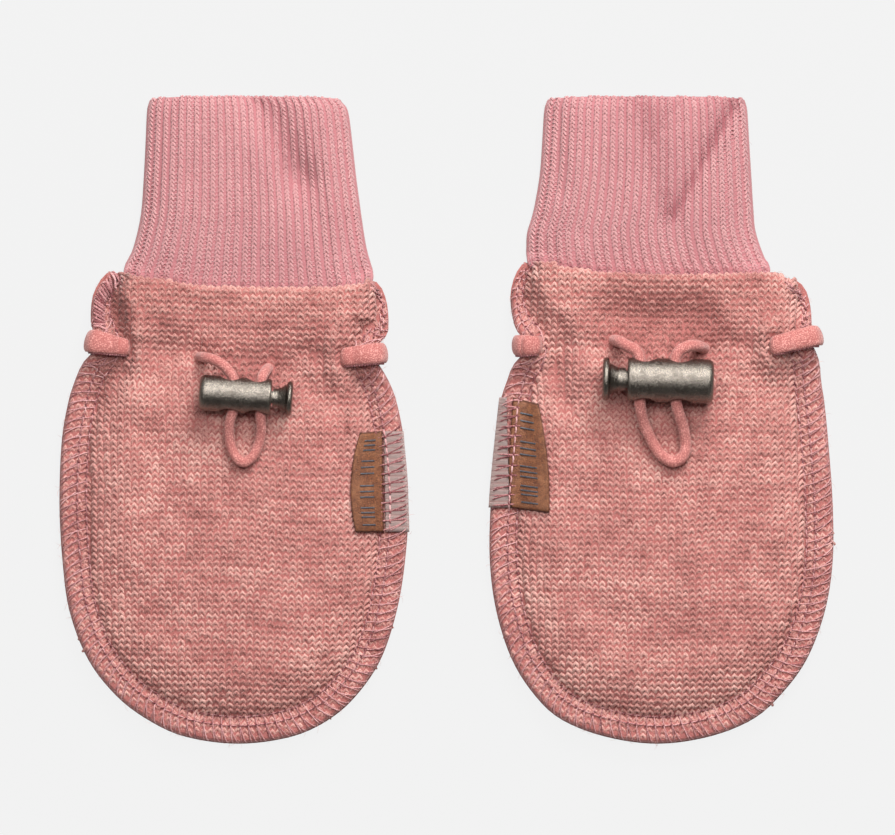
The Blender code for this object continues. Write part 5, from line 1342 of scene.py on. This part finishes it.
def side_loop(form, loop):
    """The elastic round one side seam, its ends sunk into the cloth of both panels."""
    mitten = form.mitten
    side_name = "right" if loop.side > 0 else "left"
    edge_x, reach = loop_edge(loop), loop_reach(loop)
    half = BAND_THICK / 2

    def place(inwards, z):
        share = min(1.2, max(0.0, inwards / reach))
        return (edge_x - loop.side * inwards, mix(loop.outer_height, loop.entry_height, share), z)

    def above(inwards):
        x, y = place(inwards, 0.0)[:2]
        return max(surface_height(form, x, y + d) for d in (-1.6, 0.0, 1.6)) + LOOP_CLEAR - 0.1 + half

    flat = above(reach * 0.72)
    route = [place(reach + 0.25, flat - 3.6), place(reach + 0.2, flat - 1.6), place(reach - 0.1, flat - 0.3)]
    route += [place(reach * 0.87, flat), place(reach * 0.72, flat)]
    route += [place(reach * share, above(reach * share)) for share in (0.5, 0.3, 0.12)]
    top, low = route[-1][2], half + 0.1
    middle = (top + low) / 2
    out = half + LOOP_CLEAR
    route += [place(-0.25, mix(top, middle, 0.12)), place(-1.0, mix(top, middle, 0.5)), place(-out, middle)]
    route += [place(-1.0, mix(low, middle, 0.5)), place(-0.25, mix(low, middle, 0.12))]
    route += [place(reach * 0.16, low), place(reach * 0.56, low), place(reach * 0.95, low + 0.1)]
    route.append(place(reach * 1.15, low + 1.4))
    smooth = spline(route, 8)
    route = at_lengths(smooth, np.linspace(0, 1, LOOP_RINGS) * lengths_along(smooth, 3)[-1], 3)
    at_edge, at_entry = BAND_WIDTH + 0.2, BAND_WIDTH - 0.3
    if (mitten.name, loop.side) == ("left", -1):
        at_edge, at_entry = 5.3, 3.7

    def radius_at(angle, along):
        pile = np.sin(along * 5200.0 + 3 * angle) + np.sin(along * 8100.0 - 5 * angle)
        return (BAND_WIDTH / 2) * MM * (1 + 0.008 * pile)

    def squash(share):
        inwards = abs(route[int(round(share * (LOOP_RINGS - 1))), 0] - edge_x) / reach
        return mix(at_edge, at_entry, min(1.0, inwards)) / BAND_WIDTH, half / (BAND_WIDTH / 2)

    name = f"{mitten.name}_side_elastic_{side_name}"
    piece = tube_piece(
        name, form.to_world(route), radius_at, 22, MATERIALS["elastic"], repeat=PLAIT, squash=squash,
        across=(0.0, 1.0, 0.0),
    )
    node = f"{mitten.name}_side_loop_{side_name}"
    picots(form, route, name + "_picots", squash)
    return dressed(piece, [node])


def picots(form, route, name, squash):
    """Tiny loops of thread along the elastic's lower edge."""
    along = lengths_along(route, 3)
    spots = np.arange(3.2, along[-1] - 4.4, 0.6)
    points = at_lengths(route, spots, 3)
    wide = np.array([squash(spot / along[-1])[0] for spot in spots])
    points[:, 1] -= BAND_WIDTH / 2 * wide - 0.05
    points[:, 2] += 0.25
    ahead = unit(at_lengths(route, spots + 0.2, 3) - at_lengths(route, spots - 0.2, 3))
    down = np.array((0.0, -1.0, 0.0))
    line = [points - ahead * 0.16, points + down * 0.3 - ahead * 0.08, points + down * 0.3 + ahead * 0.08,
            points + ahead * 0.16]
    lines = form.to_world(np.stack(line, 1))
    dressed(strands(name, lines, 1.0, 0.16, 0.15, 5, 0.1, 3, MATERIALS["thread"]))


def drawcord(form, axis):
    """The round elastic from the cloth, through the lock, round its loop and back into the cloth."""
    mitten = form.mitten
    radius = mitten.cord_radius
    places = []
    for number, point in enumerate(mitten.route):
        low = surface_height(form, point.x, point.y) + CORD_CLEAR + radius
        if number in (0, len(mitten.route) - 1):
            low -= END_SUNK * radius
        places.append((point.x, point.y, mix(low, axis, point.rise)))
    places = np.array(places)
    for end, nearby in ((0, 1), (-1, -2)):
        out = unit((places[end] - places[nearby]) * (1.0, 1.0, 0.0))
        sunk = places[end] + out + (0.0, 0.0, -END_DEPTH)
        places = np.vstack([sunk, places]) if end == 0 else np.vstack([places, sunk])
    smooth = spline(places, 10)
    length = lengths_along(smooth, 3)[-1]
    route = at_lengths(smooth, np.linspace(0, length, CORD_RINGS), 3)

    def radius_at(angle, along):
        braid = np.sin(along * 3900.0 + 4 * angle) * np.sin(along * 3900.0 - 4 * angle)
        return radius * MM * (1 + 0.05 * braid - 0.03)

    piece = tube_piece(
        mitten.name + "_drawcord_elastic", form.to_world(route), radius_at, 18, MATERIALS["elastic"], repeat=PLAIT
    )
    dressed(piece, [mitten.name + "_drawcord"])
    world = form.to_world(route)


# ---------------------------------------------------------------- cord lock


def lathe(name, profile, steps, place, material, edges):
    """A solid turned from (radius, place) points; edges gives the rub at each profile point."""
    angles = [2 * math.pi * step / steps for step in range(steps)]
    points = [
        place @ Vector((radius * math.cos(angle), radius * math.sin(angle), z)) * MM
        for radius, z in profile for angle in angles
    ]
    piece = mesh_piece(name, points, grid_faces(len(profile), steps, around=True), material)
    give(piece.data, "edge", np.repeat(edges, steps))
    return face_out(piece)


def rounded(points, radius, steps=4):
    """A profile with every inner corner rounded, and a number for how exposed each point is."""
    made, rubs = [points[0]], [0.0]
    for before, here, after in zip(points, points[1:], points[2:]):
        a, b, c = (np.array(p, float) for p in (before, here, after))
        size = min(radius, 0.45 * np.linalg.norm(a - b), 0.45 * np.linalg.norm(c - b))
        start = b + (a - b) / np.linalg.norm(a - b) * size
        end = b + (c - b) / np.linalg.norm(c - b) * size
        for step in range(steps + 1):
            t = step / steps
            made.append(tuple((1 - t) ** 2 * start + 2 * t * (1 - t) * b + t * t * end))
            rubs.append(0.35 * math.sin(math.pi * t) + 0.1)
    return made + [points[-1]], rubs + [0.0]


def filled(points, rubs, longest):
    """The same profile with points at most longest apart."""
    made, marks = [points[0]], [rubs[0]]
    for (a, b), (ra, rb) in zip(zip(points, points[1:]), zip(rubs, rubs[1:])):
        count = max(1, math.ceil(math.dist(a, b) / longest))
        for step in range(1, count + 1):
            made.append((mix(a[0], b[0], step / count), mix(a[1], b[1], step / count)))
            marks.append(mix(ra, rb, step / count))
    return made, marks


def lock_place(mitten, axis):
    turn = Matrix.Rotation(math.radians(mitten.lock.turn), 4, "Z") @ Matrix.Rotation(math.radians(90), 4, "Y")
    spot = (mitten.lock.x + mitten.centre, mitten.lock.y - PAIR_LENGTH / 2, axis)
    return Matrix.Translation(spot) @ turn


def apply_modifiers(piece):
    made = evaluated_mesh(piece)
    piece.modifiers.clear()
    piece.data = made


def cut(piece, name, make, place, turn):
    """Cuts a shape out of a piece: made in millimetres, turned in the lock's own frame, then put in its place."""
    shape = bmesh.new()
    make(shape)
    bmesh.ops.transform(shape, matrix=Matrix.Scale(MM, 4) @ place @ turn, verts=shape.verts)
    data = bpy.data.meshes.new(name)
    shape.to_mesh(data)
    shape.free()
    tool = linked(name, data)
    piece.modifiers.new(name, "BOOLEAN").object = tool
    apply_modifiers(piece)
    bpy.data.objects.remove(tool)


def sharpened(piece):
    piece.data.shade_smooth()
    piece.data.set_sharp_from_angle(angle=math.radians(40))


def cord_lock(form, axis):
    mitten, lock = form.mitten, form.mitten.lock
    place = lock_place(mitten, axis)
    half, outside = lock.length / 2, lock.radius
    axis_radius, floor = 0.02, -half + 1.8
    outline = [
        (axis_radius, floor), (lock.bore, floor), (lock.bore, half - 0.3), (lock.bore + 0.25, half),
        (outside - 0.2, half), (outside, half - 0.5), (outside, -half + 1.0), (outside - 0.35, -half + 0.3),
        (outside - 1.0, -half), (axis_radius, -half),
    ]
    profile, rubs = filled(*rounded(outline, 0.35), 0.7)
    name = mitten.name + "_lock_barrel_metal"
    barrel = lathe(name, profile, 72, place, MATERIALS["metal"], rubs)
    for hole in lock.holes:
        turn = Matrix.Translation((0, 0, hole)) @ Matrix.Rotation(math.radians(90), 4, "X")
        size = {"segments": 48, "radius1": lock.hole_radius, "radius2": lock.hole_radius, "depth": 4 * outside}
        cut(barrel, "hole", lambda mesh: bmesh.ops.create_cone(mesh, cap_ends=True, **size), place, turn)
    bevel = barrel.modifiers.new("soft_edges", "BEVEL")
    bevel.width, bevel.segments = 0.18 * MM, 2
    bevel.limit_method, bevel.angle_limit = "ANGLE", math.radians(50)
    apply_modifiers(barrel)
    sharpened(barrel)
    dressed(barrel, [mitten.name + "_lock_barrel"])

    disc_start = half + lock.neck_length
    disc_end = disc_start + lock.disc_width
    inner_end = lock.holes[0] - lock.hole_radius + 0.4
    outline = [
        (axis_radius, disc_end), (lock.disc * 0.72, disc_end), (lock.disc - 0.35, disc_end - 0.12),
        (lock.disc, disc_end - 0.45), (lock.disc, disc_start + 0.4), (lock.disc - 0.3, disc_start),
        (lock.neck + 1.0, disc_start - 0.15), (lock.neck + 0.45, disc_start - 1.1), (lock.neck, disc_start - 2.1),
        (lock.neck, half - 0.4), (lock.neck, inner_end), (axis_radius, inner_end),
    ]
    profile, rubs = filled(*rounded(outline, 0.25, 3), 0.8)
    plunger = lathe(mitten.name + "_lock_plunger_metal", profile, 64, place, MATERIALS["metal"], rubs)
    for hole in lock.holes:
        cord = hole + lock.hole_radius - mitten.cord_radius - GAP
        start = cord - mitten.cord_radius - GAP
        length = 2 * mitten.cord_radius + 2 * GAP + TRAVEL[mitten.name]
        size = Matrix.Diagonal((2 * mitten.cord_radius + 0.6, 3 * outside, length, 1.0))
        turn = Matrix.Translation((0, 0, start + length / 2)) @ size
        cut(plunger, "slot", lambda mesh: bmesh.ops.create_cube(mesh, size=1.0), place, turn)
    sharpened(plunger)
    dressed(plunger, [mitten.name + "_lock_plunger"], body=mitten.name + "_plunger")

    spring_end(form, place)


def spring_end(form, place):
    """The bright end of the coil spring, seen at the hole nearer the plunger."""
    mitten, lock = form.mitten, form.mitten.lock
    side = 1 if mitten.name == "left" else -1
    hole = lock.holes[1] - lock.hole_radius + 0.75
    reach = lock.radius - 0.1
    line = []
    for turn, out in ((0.5, -0.2), (0.25, 0.12), (0.0, 0.2)):
        angle = side * (math.radians(90) + turn * 0.35)
        radius = reach - 0.6 + out
        line.append(place @ Vector((radius * math.cos(angle), radius * math.sin(angle), hole + turn * 0.4)))
    lines = np.array([[tuple(p) for p in line]]) * MM
    piece = strands(mitten.name + "_spring_end", lines, 1.0, 0.5, 0.28, 10, 0.0, 1, MATERIALS["wire"])
    dressed(piece)


# ---------------------------------------------------------------- label


SMOOTHINGS = 3  # how often the cloth's heights are evened out under a tab or tape


def label_slab(form, name, rows, columns, clear, thick, material, node, rounding=0.25):
    """A thin piece on the cloth from rows of (height, outer, inner, slant), softened at its edges."""
    fine = spline(rows, 8)
    count = len(fine)
    shares = np.concatenate([[0.0, 0.03], np.linspace(0.08, 0.92, columns), [0.97, 1.0]])
    x = mix(fine[:, 1:2], fine[:, 2:3], shares[None, :])
    y = fine[:, :1] + fine[:, 3:] * shares[None, :]
    base = form.front(x, y)
    for _ in range(SMOOTHINGS):
        padded = np.pad(base, 1, mode="edge")
        base = (padded[:-2, 1:-1] + padded[2:, 1:-1] + padded[1:-1, :-2] + padded[1:-1, 2:] + 2 * base) / 6
    under = base + clear - 0.25
    across = np.minimum(shares, 1 - shares)[None, :] * abs(fine[:, 1:2] - fine[:, 2:3])
    down = np.minimum(np.arange(count), count - 1 - np.arange(count))[:, None] * np.ones((1, len(shares)))
    soft = np.minimum(np.clip(across / rounding, 0, 1), np.clip(down / 1.0, 0.15, 1))
    top = under + thick * (0.35 + 0.65 * np.sqrt(soft))
    points = np.stack([np.stack([x, y, z], 2) for z in (top, under)])
    wide = len(shares)
    shift = count * wide
    faces = grid_faces(count, wide) + grid_faces(count, wide, start=shift)
    loop = list(range(wide))
    loop += [i * wide + wide - 1 for i in range(1, count)]
    loop += [(count - 1) * wide + j for j in range(wide - 2, -1, -1)]
    loop += [i * wide for i in range(count - 2, 0, -1)]
    for a, b in zip(loop, loop[1:] + loop[:1]):
        faces.append((a, b, shift + b, shift + a))
    along = (fine[:, 0] - fine[0, 0]) / (fine[-1, 0] - fine[0, 0])
    uvs = np.stack([np.repeat(along[:, None], wide, 1), np.repeat(shares[None, :], count, 0)], 2).reshape(-1, 2)
    piece = mesh_piece(form.mitten.name + name, form.to_world(points), faces, material, uvs=np.vstack([uvs, uvs]))
    edge = np.clip(0.35 - np.minimum(across, down * 0.35) * 0.6, 0, 0.35)
    give(piece.data, "edge", [edge, edge])
    face_out(piece)
    dressed(piece, [node])
    return fine, top, x, y


def labels(form):
    mitten = form.mitten
    side = tape_side(mitten)
    under_tape = 0.0 if side > 0 else 1.3  # the right tab shows between the two needle lines, low down
    first = mitten.label[0].height
    rows = [
        (row.height, row.outer - under_tape * float(ease((first - row.height - 5.0) / 6.0)), row.inner, row.slant)
        for row in mitten.label
    ]
    fine, top, x, y = label_slab(
        form, "_leather_tab", rows, 8, 0.4, 1.1, MATERIALS["leather"], mitten.name + "_label"
    )
    rows = [(row.height, row.outer + side * TAPE_EDGE[side], row.ribbon, 0.0) for row in mitten.label]
    label_slab(
        form, "_woven_ribbon", rows, 6, 0.35, 0.7, MATERIALS["ribbon"], mitten.name + "_label_ribbon", 0.2
    )
    marks(form, fine, top, x, y)


def marks(form, fine, top, x, y):
    """A plain column of pressed bars down the middle of the tab, in threes."""
    lines = []
    for number, row in enumerate(np.linspace(3, len(fine) - 4.001, 17)):
        if number % 4 == 3:
            continue
        i = int(row)
        points = []
        for column in np.array((0.34, 0.5, 0.66)) * (x.shape[1] - 1):
            j = int(column)
            above, below = ([mix(grid[k, j], grid[k, j + 1], column - j) for grid in (x, y, top)] for k in (i, i + 1))
            points.append([mix(a, b, row - i) for a, b in zip(above, below)])
        lines.append(points)
    name = form.mitten.name + "_tab_marks"
    dressed(strands(name, form.to_world(lines), 1.0, 0.5, 0.2, 8, 0.05, 5, MATERIALS["mark"]))


# ---------------------------------------------------------------- loose fibres


# Fibres on a square metre, and the least and most size of one.
FRONT_FUZZ = (450000.0, 0.4, 1.1)
CUFF_FUZZ = (300000.0, 0.25, 0.6)


def fibre_object():
    """One bent wool fibre, 2 mm long, standing on its root."""
    line = [(0.0, 0.0, -0.25), (0.35, 0.05, 0.28), (0.95, 0.2, 0.52), (1.7, 0.1, 0.48), (2.3, -0.25, 0.25)]
    rings = []
    for index, point in enumerate(line):
        radius = (0.034, 0.032, 0.028, 0.022, 0.008)[index]
        for turn in range(3):
            angle = 2 * math.pi * turn / 3
            rings.append((point[0], point[1] + radius * math.cos(angle), point[2] + radius * math.sin(angle)))
    faces = grid_faces(len(line), 3, around=True) + [(2, 1, 0), (12, 13, 14)]
    points = np.array(rings) * MM
    piece = mesh_piece("fibre", points, faces, MATERIALS["hair"], tones=np.full(len(points), 0.55))
    return face_out(piece)


def fuzz(cloth, fibre, name, density, shortest, longest, seed, slot="felted_knit"):
    piece = baked_nodes(
        name, cloth.data.copy(), FIBRES, Fibre=fibre, Density=density, Shortest=shortest, Longest=longest, Seed=seed,
        Material=MATERIALS["hair"],
    )
    return dressed(piece)


# ---------------------------------------------------------------- the pair


def dress(mitten, fibre):
    form = Form(mitten)
    name = mitten.name
    lock_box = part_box(name + "_lock_barrel")
    axis = (lock_box[0][2] + lock_box[1][2]) / 2 / MM

    front = dressed(front_cloth(form), [name + "_front_panel"])
    back = dressed(back_cloth(form), [name + "_back_panel"])
    cuff = dressed(cuff_cloth(form), [name + "_cuff"])
    front_yarn = dressed(front_knit(form))
    back_yarn = dressed(back_knit(form))
    cuff_yarn = dressed(cuff_knit(form))
    threads = [dressed(piece) for piece in overlock(form)]
    hairs = fuzz(front, fibre, name + "_front_fuzz", *FRONT_FUZZ, mitten.seed)
    cuff_hairs = fuzz(cuff, fibre, name + "_cuff_fuzz", *CUFF_FUZZ, mitten.seed + 3, "rib_knit")

    for loop in mitten.loops:
        side_loop(form, loop)
    drawcord(form, axis)
    cord_lock(form, axis)
    labels(form)


def light(name, place, size, power):
    """A soft rectangular light that looks at the middle of the pair."""
    data = bpy.data.lights.new(name, "AREA")
    data.shape = "RECTANGLE"
    data.size, data.size_y = size
    data.energy = power
    lamp = linked(name, data)
    lamp.location = place
    lamp.rotation_euler = (-Vector(place)).to_track_quat("-Z", "Y").to_euler()


def stage():
    """A pale floor, soft light from beyond the cuffs, and a camera straight above."""
    reach, level = 3.0, -0.00005
    floor_mesh = bpy.data.meshes.new("floor")
    corners = [(x * reach, y * reach, level) for x, y in ((-1, -1), (1, -1), (1, 1), (-1, 1))]
    floor_mesh.from_pydata(corners, [], [(0, 1, 2, 3)])
    floor = linked("floor", floor_mesh)
    material, tree, shader = new_material("pale_floor", 0.9)
    white = (1.0, 1.0, 1.0)
    looks = {"Base Color": (0.02, 0.02, 0.02), "Specular IOR Level": 0.0, "Emission Color": white}
    for name, value in {**looks, "Emission Strength": 0.86}.items():
        fed(tree, shader[name], value)
    floor_mesh.materials.append(material)

    world = bpy.data.worlds.new("soft_room")
    world.use_nodes = True
    background = world.node_tree.nodes["Background"].inputs
    background["Color"].default_value = (1.0, 0.99, 0.98, 1.0)
    background["Strength"].default_value = 0.14
    scene = bpy.context.scene
    scene.world = world
    light("key", (0.25, 0.82, 0.7), (0.45, 0.45), 13.6)
    light("overhead", (0.0, 0.3, 1.1), (1.0, 0.4), 10.4)

    data = bpy.data.cameras.new("camera")
    data.sensor_width = 36.0
    height, cloth_height = 3.0, 0.004
    data.lens = data.sensor_width * (height - cloth_height) / (PICTURE_WIDTH * PIXEL * MM)
    camera = linked("camera", data)
    camera.location = (0.000225, 0.00056, height)
    scene.camera = camera
    scene.view_settings.view_transform = "Standard"


stage()
FIBRE = fibre_object()
for pair_mitten in (LEFT, RIGHT):
    dress(pair_mitten, FIBRE)
bpy.data.objects.remove(FIBRE)
